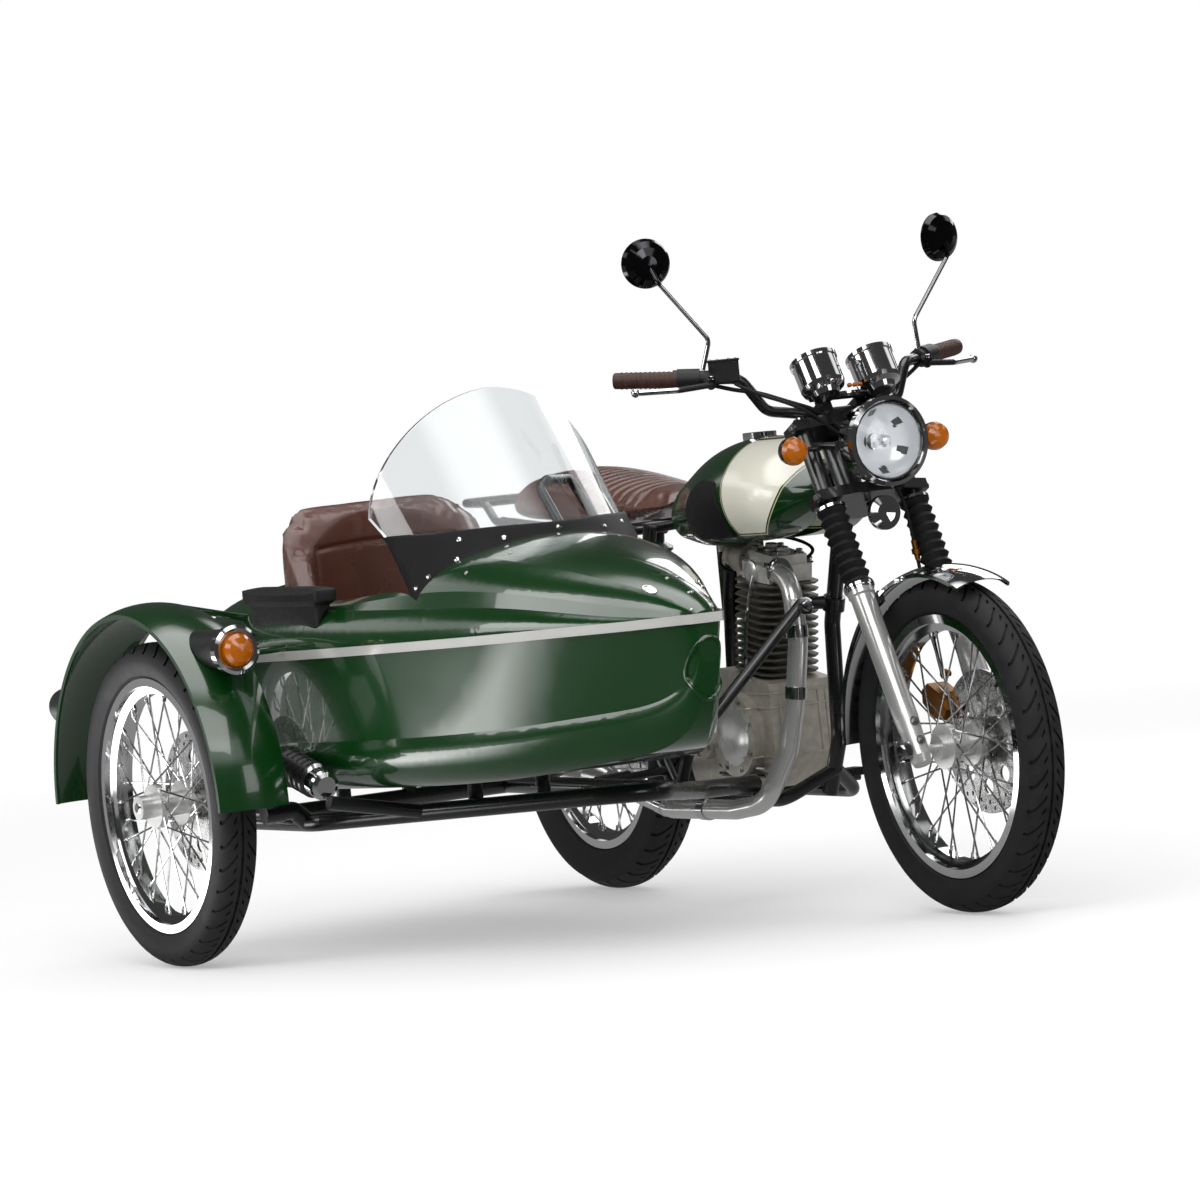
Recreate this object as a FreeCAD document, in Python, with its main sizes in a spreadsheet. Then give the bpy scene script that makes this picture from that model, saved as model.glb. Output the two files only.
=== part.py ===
"""Classic motorcycle with a sidecar, modelled as a parametric FreeCAD document.

Bike frame: x = 0 is the motorcycle's centre plane with +X to the rider's left,
y = 0 is the front axle with +Y rearwards, and z = 0 is the ground.  The last
step moves every sub-part so that the origin is the middle of the footprint.
"""
import FreeCAD, Part
import math
import os

import Sketcher
from FreeCAD import Placement, Rotation, Vector

doc = FreeCAD.newDocument("sidecar_outfit")
sheet = doc.addObject("Spreadsheet::Sheet", "Size")

SIZES = (
    # name, value, meaning (millimetres and degrees)
    ("frame_x", 0, "shift of the bike frame into the part frame"),
    ("frame_y", 0, "shift of the bike frame into the part frame"),
    ("wheelbase", 1400, "front axle to rear axle"),
    ("track", 1160, "bike centre plane to sidecar wheel centre"),
    ("side_axle_y", 1105, "sidecar axle behind the front axle"),
    ("body_inset", 515, "sidecar centre plane inboard of its wheel"),
    ("front_tyre_r", 324, "90/90-19 tyre"),
    ("front_tyre_w", 90, "section width"),
    ("rear_tyre_r", 328, "110/90-18 tyre"),
    ("rear_tyre_w", 110, "section width"),
    ("rim19_r", 254.8, "flange radius of a 19 inch rim"),
    ("rim18_r", 241.5, "flange radius of an 18 inch rim"),
    ("rim_w", 62, "rim width over the flanges"),
    ("rim_wall", 3.5, "rim wall thickness"),
    ("rim_lip", 13, "flange height above the bead seat"),
    ("rim_well", 29, "flange height above the well floor"),
    ("tyre_wall", 9, "carcass thickness"),
    ("axle_r", 8.2, "axle radius"),
    ("running_gap", 0.3, "radial gap of a shaft in its bore"),
    ("seat_gap", 0.3, "gap between seated pieces"),
    ("hub_r", 24, "hub barrel radius"),
    ("hub_flange_r", 44, "spoke flange radius"),
    ("hub_flange_x", 30, "spoke flange offset"),
    ("hub_half", 52, "half length of the front and sidecar hubs"),
    ("spoke_r", 2.0, "spoke radius"),
    ("spoke_count", 36, "spokes in each wheel"),
    ("disc_r", 140, "brake disc radius"),
    ("disc_x", 60, "brake disc plane from the wheel centre"),
    ("disc_t", 5, "brake disc thickness"),
    ("drill_r", 4.5, "hole radius in a drilled disc"),
    ("drum_r", 78, "rear brake drum radius"),
    ("sprocket_r", 94, "rear sprocket radius"),
    ("sprocket_x", 67, "chain line from the centre plane"),
    ("rake", 27, "fork rake from vertical"),
    ("fork_offset", 55, "steering axis behind the fork legs"),
    ("leg_x", 95, "fork leg from the centre plane"),
    ("slider_r", 24, "fork slider radius"),
    ("slider_top", 349, "slider top above the axle along the fork"),
    ("stanchion_r", 18, "fork tube radius"),
    ("stanchion_top", 712, "fork tube top above the axle along the fork"),
    ("gaiter_r", 30, "gaiter rib radius"),
    ("gaiter_top", 528, "gaiter top above the axle along the fork"),
    ("gaiter_ribs", 9, "gaiter ribs"),
    ("yoke_low", 536, "lower yoke's underside along the fork"),
    ("yoke_high", 690, "upper yoke's underside along the fork"),
    ("yoke_t", 22, "yoke thickness"),
    ("stem_r", 15, "steering stem radius"),
    ("head_r", 27, "head tube radius"),
    ("head_gap", 6, "head tube to yoke"),
    ("bar_r", 11, "handlebar radius"),
    ("grip_r", 16, "grip radius"),
    ("frame_tube_r", 16, "motorcycle frame tube radius"),
    ("side_tube_r", 18, "sidecar chassis tube radius"),
    ("skin", 3, "sidecar shell thickness"),
    ("screen_r", 285, "windscreen curvature radius"),
    ("screen_t", 4, "windscreen thickness"),
    ("screen_lean", 38.6, "windscreen lean from vertical"),
    ("screen_y", 330, "windscreen foot behind the front axle"),
    ("screen_z", 790, "windscreen foot height"),
    ("screen_top", 1091, "windscreen top height"),
    ("guard_r", 383, "sidecar mudguard edge radius"),
    ("guard_out", 75, "mudguard outer edge from the wheel centre"),
    ("guard_in", 74, "mudguard inner edge from the wheel centre"),
    ("guard_t", 2.5, "sheet thickness of the mudguard and fenders"),
    ("guard_crown", 17, "mudguard crown over its edges"),
    ("guard_lip", 7, "turned-in edge of the mudguard"),
    ("cradle_r", 14, "cradle tube radius"),
    ("cradle_x", 84, "cradle tube from the centre plane"),
    ("cradle_z", 215, "cradle tube height"),
    ("rail_r", 13, "seat rail radius"),
    ("rail_x", 110, "seat rail from the centre plane"),
    ("rail_overhang", 160, "seat rail end behind the rear axle"),
    ("arm_x", 88, "swinging arm leg from the centre plane"),
    ("damper_x", 135, "rear damper from the centre plane"),
    ("fender_gap", 16, "rear tyre to its fender"),
    ("pivot_lead", 205, "sidecar arm pivot ahead of its axle"),
    ("outer_inset", 200, "outer chassis tube inboard of the sidecar wheel"),
    ("inner_inset", 815, "inner chassis tube inboard of the sidecar wheel"),
    ("fin_half", 68, "cylinder fin from the cylinder axis"),
    ("fin_pitch", 15, "cylinder fin spacing"),
    ("cylinder_y", 665, "cylinder foot behind the front axle"),
    ("cylinder_z", 461.4, "cylinder foot height"),
    ("cylinder_lean", 10, "cylinder lean forward"),
    ("lamp_r", 88, "headlamp rim radius"),
)

for row, (alias, value, meaning) in enumerate(SIZES, start=1):
    sheet.set(f"A{row}", alias)
    sheet.set(f"B{row}", str(value))
    sheet.set(f"C{row}", meaning)
    sheet.setAlias(f"B{row}", alias)
doc.recompute()
probe = doc.addObject("App::FeaturePython", "Probe")
nodes = []


def num(expression):
    """Value of an expression over the sheet, such as 'Size.track / 2'."""
    return float(probe.evalExpression(str(expression)))


class Sheet:
    """Reads a named size, so that size.track is the value in the sheet."""

    def __getattr__(self, alias):
        return float(sheet.get(alias))


size = Sheet()
SIDE = size.track - size.body_inset
X_AXIS, Y_AXIS, Z_AXIS = Vector(1, 0, 0), Vector(0, 1, 0), Vector(0, 0, 1)


# ---------------------------------------------------------------- helpers
def place(obj, x=0, y=0, z=0, axis=(0, 0, 1), angle=0):
    """Bind an object's position in the bike frame, and its turn, to the sheet."""
    obj.Placement = Placement(Vector(num(x), num(y), num(z)), Rotation(Vector(*axis), num(angle)))
    obj.setExpression("Placement.Base.x", f"Size.frame_x + ({x})")
    obj.setExpression("Placement.Base.y", f"Size.frame_y + ({y})")
    obj.setExpression("Placement.Base.z", str(z))
    if angle:
        obj.setExpression("Placement.Rotation.Angle", f"{angle}")
    return obj


def place_on_fork(obj):
    """Stand an object, modelled along a vertical fork with the axle at 0, in the raked fork."""
    return place(obj, z="Size.front_tyre_r", axis=(-1, 0, 0), angle="Size.rake")


def node(obj, label):
    """Name an object as a sub-part that is written to its own file."""
    obj.Label = label
    nodes.append(obj)
    return obj


def solid_node(label, shape):
    """A sub-part whose shape is made by Part's own functions, in the bike frame."""
    obj = doc.addObject("Part::Feature", label)
    obj.Shape = shape
    place(obj)
    return node(obj, label)


def new_body(name):
    return doc.addObject("PartDesign::Body", name)


def new_sketch(body, plane, outlines=(), circles=(), offset=0):
    """Sketch of closed outlines of (u, v) or (u, v, bulge) corners and of (u, v, r) circles.

    Every coordinate is an expression.  A third value bulges the side that
    leaves the corner into an arc, that far to the right of its chord.
    """
    sketch = body.newObject("Sketcher::SketchObject", f"{body.Name}_sketch")
    support = [item for item in body.Origin.OriginFeatures if item.Role == plane][0]
    sketch.AttachmentSupport = [(support, "")]
    sketch.MapMode = "FlatFace"
    if offset:
        sketch.setExpression("AttachmentOffset.Base.z", str(offset))
    for outline in outlines:
        draw_outline(sketch, outline)
    for u, v, radius in circles:
        index = sketch.addGeometry(Part.Circle(Vector(num(u), num(v), 0), Z_AXIS, num(radius)), False)
        bind(sketch, Sketcher.Constraint("DistanceX", index, 3, num(u)), u)
        bind(sketch, Sketcher.Constraint("DistanceY", index, 3, num(v)), v)
        bind(sketch, Sketcher.Constraint("Radius", index, num(radius)), radius)
    return sketch


def bind(sketch, constraint, expression):
    """Add a constraint whose value follows the expression."""
    index = sketch.addConstraint(constraint)
    sketch.setExpression(f"Constraints[{index}]", str(expression))


def draw_outline(sketch, outline):
    """Draw one closed outline and hold its corners at their expressions."""
    corners = [Vector(num(corner[0]), num(corner[1]), 0) for corner in outline]
    indices = []
    for i, corner in enumerate(outline):
        start, end = corners[i], corners[(i + 1) % len(corners)]
        if len(corner) < 3:
            indices.append((sketch.addGeometry(Part.LineSegment(start, end), False), 1, 2))
            continue
        chord = end - start
        right = Vector(chord.y, -chord.x, 0).normalize()
        middle = (start + end) * 0.5 + right * num(corner[2])
        arc = Part.Arc(start, middle, end)
        index = sketch.addGeometry(arc, False)
        first = sketch.getPoint(index, 1)
        indices.append((index, 1, 2) if first.isEqual(start, 1e-6) else (index, 2, 1))
    for i, corner in enumerate(outline):
        index, start_point, end_point = indices[i]
        following = indices[(i + 1) % len(indices)]
        sketch.addConstraint(Sketcher.Constraint("Coincident", index, end_point, following[0], following[1]))
        bind(sketch, Sketcher.Constraint("DistanceX", index, start_point, corners[i].x), corner[0])
        bind(sketch, Sketcher.Constraint("DistanceY", index, start_point, corners[i].y), corner[1])
        if len(corner) == 3:
            after = outline[(i + 1) % len(outline)]
            bulge = f"abs({corner[2]})"
            radius = (f"((({after[0]}) - ({corner[0]}))^2 + (({after[1]}) - ({corner[1]}))^2)"
                      f" / (8 * {bulge}) + {bulge} / 2")
            bind(sketch, Sketcher.Constraint("Radius", index, num(radius)), radius)


def revolve(body, sketch, axis="V_Axis", angle=360, groove=False):
    """Revolution, or groove, of a sketch about one of its own axes."""
    kind = "PartDesign::Groove" if groove else "PartDesign::Revolution"
    feature = body.newObject(kind, f"{body.Name}_turn")
    feature.Profile = (sketch, [""])
    feature.ReferenceAxis = (sketch, [axis])
    feature.Angle = num(angle)
    feature.setExpression("Angle", str(angle))
    body.Tip = feature
    return feature


def pad(body, sketch, length, centred=False, pocket=False, backwards=False):
    """Pad, or pocket, of a sketch."""
    kind = "PartDesign::Pocket" if pocket else "PartDesign::Pad"
    feature = body.newObject(kind, f"{body.Name}_pad")
    feature.Profile = (sketch, [""])
    feature.Length = num(length)
    feature.setExpression("Length", str(length))
    feature.Midplane = centred
    feature.Reversed = backwards
    body.Tip = feature
    return feature


def ring_pattern(body, feature, sketch, count, axis="N_Axis"):
    """Repeat a feature round a sketch's axis."""
    pattern = body.newObject("PartDesign::PolarPattern", f"{body.Name}_ring")
    pattern.Originals = [feature]
    pattern.Axis = (sketch, [axis])
    pattern.Angle = 360
    pattern.Occurrences = int(count)
    body.Tip = pattern
    return pattern


def row_pattern(body, feature, sketch, length, count, axis="N_Axis"):
    """Repeat a feature along a sketch's axis."""
    pattern = body.newObject("PartDesign::LinearPattern", f"{body.Name}_row")
    pattern.Originals = [feature]
    pattern.Direction = (sketch, [axis])
    pattern.Length = num(length)
    pattern.setExpression("Length", str(length))
    pattern.Occurrences = int(count)
    body.Tip = pattern
    return pattern


def fuse(name, *parts):
    """Union of objects that stay in the document."""
    union = doc.addObject("Part::MultiFuse", name)
    union.Shapes = list(parts)
    return union


def vectors(points):
    return [Vector(*point) for point in points]


def bent_path(points, bend):
    """Wire of straight runs joined by tangent arcs of at most the bend radius."""
    edges, start = [], points[0]
    for before, corner, after in zip(points, points[1:], points[2:]):
        inward, outward = (before - corner), (after - corner)
        short = min(inward.Length, outward.Length)
        half_turn = (math.pi - inward.getAngle(outward)) / 2
        setback = min(bend * math.tan(half_turn), 0.45 * short)
        radius = setback / math.tan(half_turn)
        inward.normalize()
        outward.normalize()
        first, last = corner + inward * setback, corner + outward * setback
        towards = (inward + outward).normalize()
        centre = corner + towards * (radius / math.cos(half_turn))
        edges.append(Part.makeLine(start, first))
        edges.append(Part.Arc(first, centre - towards * radius, last).toShape())
        start = last
    edges.append(Part.makeLine(start, points[-1]))
    return Part.Wire(edges)


def tube(points, radius, bend=60):
    """Round bar along straight runs joined by tangent arcs."""
    points = vectors(points)
    if len(points) == 2:
        run = points[1] - points[0]
        return Part.makeCylinder(radius, run.Length, points[0], run)
    path = bent_path(points, bend)
    circle = Part.Wire(Part.makeCircle(radius, points[0], points[1] - points[0]))
    return path.makePipeShell([circle], True, False)


def union(shapes):
    """One solid of shapes that overlap."""
    return shapes[0].fuse(list(shapes[1:])).removeSplitter()


def box(x0, x1, y0, y1, z0, z1):
    return Part.makeBox(x1 - x0, y1 - y0, z1 - z0, Vector(x0, y0, z0))


def both_sides(shape):
    """A shape with its mirror image across the bike's centre plane."""
    return Part.makeCompound([shape, shape.mirror(Vector(), X_AXIS)])


def turned(profile, base, direction, angle=360):
    """Solid of revolution from (radius, height) pairs along a direction."""
    points = [Vector(radius, 0, height) for radius, height in profile]
    face = Part.Face(Part.makePolygon(points + points[:1]))
    solid = face.revolve(Vector(), Z_AXIS, angle)
    turn = Placement(Vector(*base), Rotation(Z_AXIS, Vector(*direction)))
    return solid.transformed(turn.toMatrix(), True)


def outline_wire(corners):
    """Closed wire through 3-D corners; a corner ('arc', point) is passed on an arc."""
    edges, last, through = [], None, None
    for corner in list(corners) + [corners[0]]:
        if corner[0] == "arc":
            through = Vector(*corner[1])
            continue
        point = Vector(*corner)
        if last is not None:
            edge = Part.Arc(last, through, point).toShape() if through else Part.makeLine(last, point)
            edges.append(edge)
        last, through = point, None
    return Part.Wire(edges)


# ---------------------------------------------------------------- wheels
def tyre(label, radius, width, rim_r, axle):
    """Tyre: a hollow carcass with rounded sidewalls and crown, open towards the rim."""
    body = new_body(label)
    bead, seat_r = "Size.rim_w / 2 - Size.rim_wall - Size.seat_gap", f"{rim_r} - Size.rim_lip + Size.seat_gap"
    shoulder, shoulder_r = f"{width} * 0.42", f"{radius} - 20"
    wall = "Size.tyre_wall"
    flange = f"{rim_r} + 1"
    outline = [
        (f"-({bead})", seat_r), (f"-({bead})", flange, -11), (f"-({shoulder})", shoulder_r, -5),
        ("0", radius, -5), (shoulder, shoulder_r, -11),
        (bead, flange), (bead, seat_r), (f"{bead} - {wall}", seat_r),
        (f"{shoulder} - {wall}", f"{shoulder_r} - {wall}"),
        (f"-({shoulder} - {wall})", f"{shoulder_r} - {wall}"),
        (f"-({bead} - {wall})", seat_r),
    ]
    revolve(body, new_sketch(body, "XY_Plane", [outline]), "H_Axis")
    return place(node(body, label), *axle)


def rim(label, rim_r, axle):
    """Rim: a drop-centre channel with rolled flanges."""
    body = new_body(label)
    edge, wall = "Size.rim_w / 2", "Size.rim_wall"
    seat_r, well_r = f"{rim_r} - Size.rim_lip", f"{rim_r} - Size.rim_well"
    right = [
        (edge, rim_r), (f"{edge} - {wall}", rim_r), (f"{edge} - {wall}", seat_r),
        (f"{edge} * 0.5", seat_r), (f"{edge} * 0.34", well_r),
    ]
    under = [(f"{edge} * 0.4", f"{well_r} - {wall}"), (f"{edge} * 0.6", f"{seat_r} - {wall}"),
             (edge, f"{seat_r} - {wall}")]
    left = [(f"-({u})", v) for u, v in right]
    under_left = [(f"-({u})", v) for u, v in under]
    outline = right + left[::-1] + under_left[::-1] + under
    revolve(body, new_sketch(body, "XY_Plane", [outline]), "H_Axis")
    return place(node(body, label), *axle)


def spokes(name, flange_r, rim_r):
    """Laced spokes: each leaves a hub flange on a slant and meets the rim well."""
    count = int(size.spoke_count)
    well_r = num(rim_r) - size.rim_well - size.rim_wall
    start_r, lean = num(flange_r) - 5, math.radians(62)
    bars = []
    for i in range(count):
        side = 1 if i % 2 else -1
        slant = lean if (i // 2) % 2 else -lean
        angle = 2 * math.pi * i / count
        x_hub = side * (size.hub_flange_x + (4 if slant > 0 else -4))
        start = Vector(x_hub, start_r * math.cos(angle - slant), start_r * math.sin(angle - slant))
        end = Vector(side * 5, (well_r - 1) * math.cos(angle), (well_r - 1) * math.sin(angle))
        bars.append(prism(start, end, size.spoke_r))
    feature = doc.addObject("Part::Feature", name)
    feature.Shape = Part.makeCompound(bars)
    return feature


def prism(start, end, radius, sides=5):
    """Thin bar with a few flat sides between two points."""
    run = end - start
    turn = Rotation(Z_AXIS, run)
    ring = [start + turn.multVec(Vector(radius * math.cos(a), radius * math.sin(a), 0))
            for a in (2 * math.pi * k / sides for k in range(sides))]
    return Part.Face(Part.makePolygon(ring + ring[:1])).extrude(run)


def hub(label, outline, flange_r, rim_r, axle):
    """Hub with a through bore, fused with its spokes."""
    barrel = new_body(f"{label}_barrel")
    revolve(barrel, new_sketch(barrel, "XY_Plane", [outline]), "H_Axis")
    joined = fuse(label, barrel, spokes(f"{label}_spokes", flange_r, rim_r))
    return place(node(joined, label), *axle)


def hub_outline(left, right, flange_r):
    """Hub section: a barrel with two spoke flanges, from the left end to the right end."""
    bore = "Size.axle_r + Size.running_gap"
    flange, thick = "Size.hub_flange_x", 8
    return [
        (f"-({right})", bore), (left, bore), (left, "Size.hub_r"),
        (f"{flange} + {thick}", "Size.hub_r"), (f"{flange} + {thick}", flange_r),
        (f"{flange} - {thick}", flange_r), (f"{flange} - {thick}", "Size.hub_r"),
        (f"-({flange} - {thick})", "Size.hub_r"), (f"-({flange} - {thick})", flange_r),
        (f"-({flange} + {thick})", flange_r), (f"-({flange} + {thick})", "Size.hub_r"),
        (f"-({right})", "Size.hub_r"),
    ]


def brake_disc(label, x, axle):
    """Disc with a waisted carrier that seats on the hub end, and a ring of bolt holes."""
    body = new_body(label)
    inner, carrier = "Size.hub_r + Size.seat_gap", "Size.disc_r * 0.62"
    disc = new_sketch(body, "YZ_Plane", circles=[(0, 0, "Size.disc_r"), (0, 0, inner)], offset=x)
    pad(body, disc, "Size.disc_t", centred=True)
    window = new_sketch(body, "YZ_Plane", circles=[(carrier, 0, 16)], offset=x)
    cut = pad(body, window, "Size.disc_t * 2", centred=True, pocket=True)
    ring_pattern(body, cut, window, 8)
    for reach, turn in (("Size.disc_r * 0.84", 0), ("Size.disc_r * 0.93", 7.5)):
        u, v = f"{reach} * cos({turn} deg)", f"{reach} * sin({turn} deg)"
        hole = new_sketch(body, "YZ_Plane", circles=[(u, v, "Size.drill_r")], offset=x)
        ring_pattern(body, pad(body, hole, "Size.disc_t * 2", centred=True, pocket=True), hole, 24)
    return place(node(body, label), *axle)


def build_wheels():
    front = (0, 0, "Size.front_tyre_r")
    side = ("-Size.track", "Size.side_axle_y", "Size.front_tyre_r")
    rear = (0, "Size.wheelbase", "Size.rear_tyre_r")
    flange = "Size.hub_flange_r"
    for name, axle in (("front", front), ("sidecar", side)):
        tyre(f"{name}_tyre", "Size.front_tyre_r", "Size.front_tyre_w", "Size.rim19_r", axle)
        rim(f"{name}_rim", "Size.rim19_r", axle)
    tyre("rear_tyre", "Size.rear_tyre_r", "Size.rear_tyre_w", "Size.rim18_r", rear)
    rim("rear_rim", "Size.rim18_r", rear)
    reach = "Size.disc_x + Size.disc_t / 2"
    hub("front_hub", hub_outline(reach, "Size.hub_half", flange), flange, "Size.rim19_r", front)
    hub("sidecar_hub", hub_outline(reach, "Size.hub_half + 18", flange), flange, "Size.rim19_r", side)
    drum = hub_outline("Size.sprocket_x + 3", 50, "Size.drum_r")
    drum[2:3] = [("Size.sprocket_x + 3", "Size.sprocket_r"), ("Size.sprocket_x - 3", "Size.sprocket_r"),
                 ("Size.sprocket_x - 3", "Size.hub_r")]
    hub("rear_hub", drum, "Size.drum_r", "Size.rim18_r", rear)
    brake_disc("front_disc", "Size.disc_x", front)
    brake_disc("sidecar_disc", "Size.disc_x", side)


# ---------------------------------------------------------------- steered parts
def build_fork():
    """Sliders with the axle, gaiters, and the crown: fork tubes, yokes and stem."""
    sliders = []
    for side, sign in (("left", 1), ("right", -1)):
        body = new_body(f"slider_{side}")
        bore = "Size.stanchion_r + Size.running_gap"
        outline = [
            (0, -30), (17, -30), (22, -14), (22, 40), ("Size.slider_r", 70),
            ("Size.slider_r", "Size.slider_top - 18"), ("Size.slider_r + 3", "Size.slider_top - 14"),
            ("Size.slider_r + 3", "Size.slider_top"), (bore, "Size.slider_top"), (bore, 140), (0, 140),
        ]
        revolve(body, new_sketch(body, "XZ_Plane", [outline]))
        body.Placement.Base.x = sign * size.leg_x
        body.setExpression("Placement.Base.x", f"{sign} * Size.leg_x")
        sliders.append(body)
    axle = doc.addObject("Part::Cylinder", "front_axle")
    axle.setExpression("Radius", "Size.axle_r")
    axle.setExpression("Height", "2 * Size.leg_x + 56")
    axle.Placement = Placement(Vector(-num("Size.leg_x + 28"), 0, 0), Rotation(Y_AXIS, 90))
    axle.setExpression("Placement.Base.x", "-(Size.leg_x + 28)")
    place_on_fork(node(fuse("fork_sliders", axle, *sliders), "fork_sliders"))

    boots = []
    for side, sign in (("left", 1), ("right", -1)):
        boot = new_body(f"gaiter_{side}")
        ribs = int(size.gaiter_ribs)
        start, end = "Size.slider_top + Size.seat_gap", "Size.gaiter_top"
        inner, rise = "Size.stanchion_r + Size.seat_gap", f"({end} - ({start})) / {2 * ribs}"
        outline = [(inner, start)]
        for i in range(2 * ribs + 1):
            radius = "Size.gaiter_r" if i % 2 else "Size.gaiter_r - 7"
            outline.append((radius, f"{start} + {i} * {rise}"))
        outline.append((inner, end))
        revolve(boot, new_sketch(boot, "XZ_Plane", [outline]))
        boot.setExpression("Placement.Base.x", f"{sign} * Size.leg_x")
        boots.append(boot)
    gaiters = doc.addObject("Part::Compound", "fork_gaiters")
    gaiters.Links = boots
    place_on_fork(node(gaiters, "fork_gaiters"))

    pieces = []
    for sign in (1, -1):
        leg = doc.addObject("Part::Cylinder", "stanchion")
        leg.setExpression("Radius", "Size.stanchion_r")
        leg.setExpression("Height", "Size.stanchion_top - 160")
        leg.setExpression("Placement.Base.x", f"{sign} * Size.leg_x")
        leg.Placement.Base.z = 160
        pieces.append(leg)
    stem = doc.addObject("Part::Cylinder", "stem")
    stem.setExpression("Radius", "Size.stem_r")
    stem.setExpression("Height", "Size.yoke_high - Size.yoke_low")
    stem.setExpression("Placement.Base.y", "Size.fork_offset")
    stem.setExpression("Placement.Base.z", "Size.yoke_low")
    pieces.append(stem)
    for name, level in (("lower_yoke", "Size.yoke_low"), ("upper_yoke", "Size.yoke_high")):
        yoke = new_body(name)
        lug = "Size.leg_x + Size.stanchion_r + 9"
        web = "Size.fork_offset + 24"
        outline = [
            (f"-({lug})", -26), (-58, -40), (58, -40), (lug, -26), (lug, 26), ("Size.leg_x - 10", 34),
            (24, web), (-24, web), ("-(Size.leg_x - 10)", 34), (f"-({lug})", 26),
        ]
        pad(yoke, new_sketch(yoke, "XY_Plane", [outline]), "Size.yoke_t")
        yoke.setExpression("Placement.Base.z", level)
        pieces.append(yoke)
    place_on_fork(node(fuse("fork_crown", *pieces), "fork_crown"))


def on_fork(x, back, along):
    """Point in the bike frame from fork coordinates: side, behind the legs, up the legs."""
    rake = math.radians(size.rake)
    return Vector(x, back * math.cos(rake) + along * math.sin(rake),
                  size.front_tyre_r - back * math.sin(rake) + along * math.cos(rake))


def fork_matrix():
    """Matrix that carries shapes drawn along a vertical fork, with the axle at 0, to the raked fork."""
    return Placement(Vector(0, 0, size.front_tyre_r), Rotation(Vector(-1, 0, 0), size.rake)).toMatrix()


BAR = ((-392, 508, 1078), (-190, 378, 1061), (-150, 355, 992), (-64, 322, 977))
BAR_CLAMP_X, BAR_CLAMP_HALF = 40, 12
CLASP_R = 17
GRIP_LENGTH, SWITCH_LENGTH = 122, 44


def build_controls():
    """Handlebar, grips, switch boxes with levers, and mirrors."""
    left = [(-x, y, z) for x, y, z in BAR[::-1]]
    bar = tube(list(BAR) + left, size.bar_r, 34)
    yoke_top = size.yoke_high + size.yoke_t + size.seat_gap
    clamps = both_sides(box(BAR_CLAMP_X - BAR_CLAMP_HALF, BAR_CLAMP_X + BAR_CLAMP_HALF, -28, 8, yoke_top,
                            yoke_top + 36).transformed(fork_matrix()))
    solid_node("handlebar", union([bar] + clamps.Solids))

    start, end = Vector(*BAR[0]), Vector(*BAR[1])
    run = (end - start).normalize()
    grip = Part.makeCylinder(size.grip_r, GRIP_LENGTH, start - run * 4, run)
    collar = Part.makeCylinder(size.grip_r + 3, 8, start + run * (GRIP_LENGTH - 12), run)
    bore = Part.makeCylinder(size.bar_r + size.seat_gap, GRIP_LENGTH, start, run)
    solid_node("grips", both_sides(union([grip, collar]).cut(bore)))

    switch_at = GRIP_LENGTH - 4 + size.seat_gap
    reach = Vector(0, -30, -12)
    pod = Part.makeCylinder(21, SWITCH_LENGTH, start + run * switch_at, run)
    knob = start + run * 2 + Vector(0, -66, -26)
    perch = start + run * (switch_at + SWITCH_LENGTH + 8)
    lever = tube([perch + reach, start + run * 90 + Vector(0, -60, -22), knob], 6, 60)
    clasp = tube([perch - run * 12, perch + run * 12], CLASP_R)
    arm = tube([perch, perch + reach], 11)
    fitted = union([pod, clasp, arm, lever, Part.makeSphere(9, knob)])
    bar_bore = Part.makeCylinder(size.bar_r + size.seat_gap, 150, start + run * (switch_at - 10), run)
    left_control = fitted.cut(bar_bore).mirror(Vector(0, 0, 0), X_AXIS)
    tank_at = perch + run * 34
    tank = box(-25, 25, -30, 4, -6, 34)
    tank.translate(tank_at)
    neck = tube([perch + run * 8 + Vector(0, -13, 0), tank_at + Vector(0, -13, 4)], 10)
    right_control = union([fitted, tank, neck]).cut(bar_bore)
    solid_node("hand_controls", Part.makeCompound([right_control, left_control]))

    glass = Vector(-338, 446, 1301)
    facing = Vector(0.25, 0.97, 0.05).normalize()
    stem = tube([perch + Vector(0, 0, CLASP_R + 1.2), Vector(-236, 404, 1141), Vector(-334, 412, 1262),
                 glass + facing * -17], 4.5, 22)
    shell = turned([(0, -26), (16, -25), (32, -20), (44, -11), (49, 0), (49, 3), (45, 3), (45, -1), (0, -1)],
                   glass, facing)
    solid_node("mirrors", both_sides(union([shell, stem])))


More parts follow.
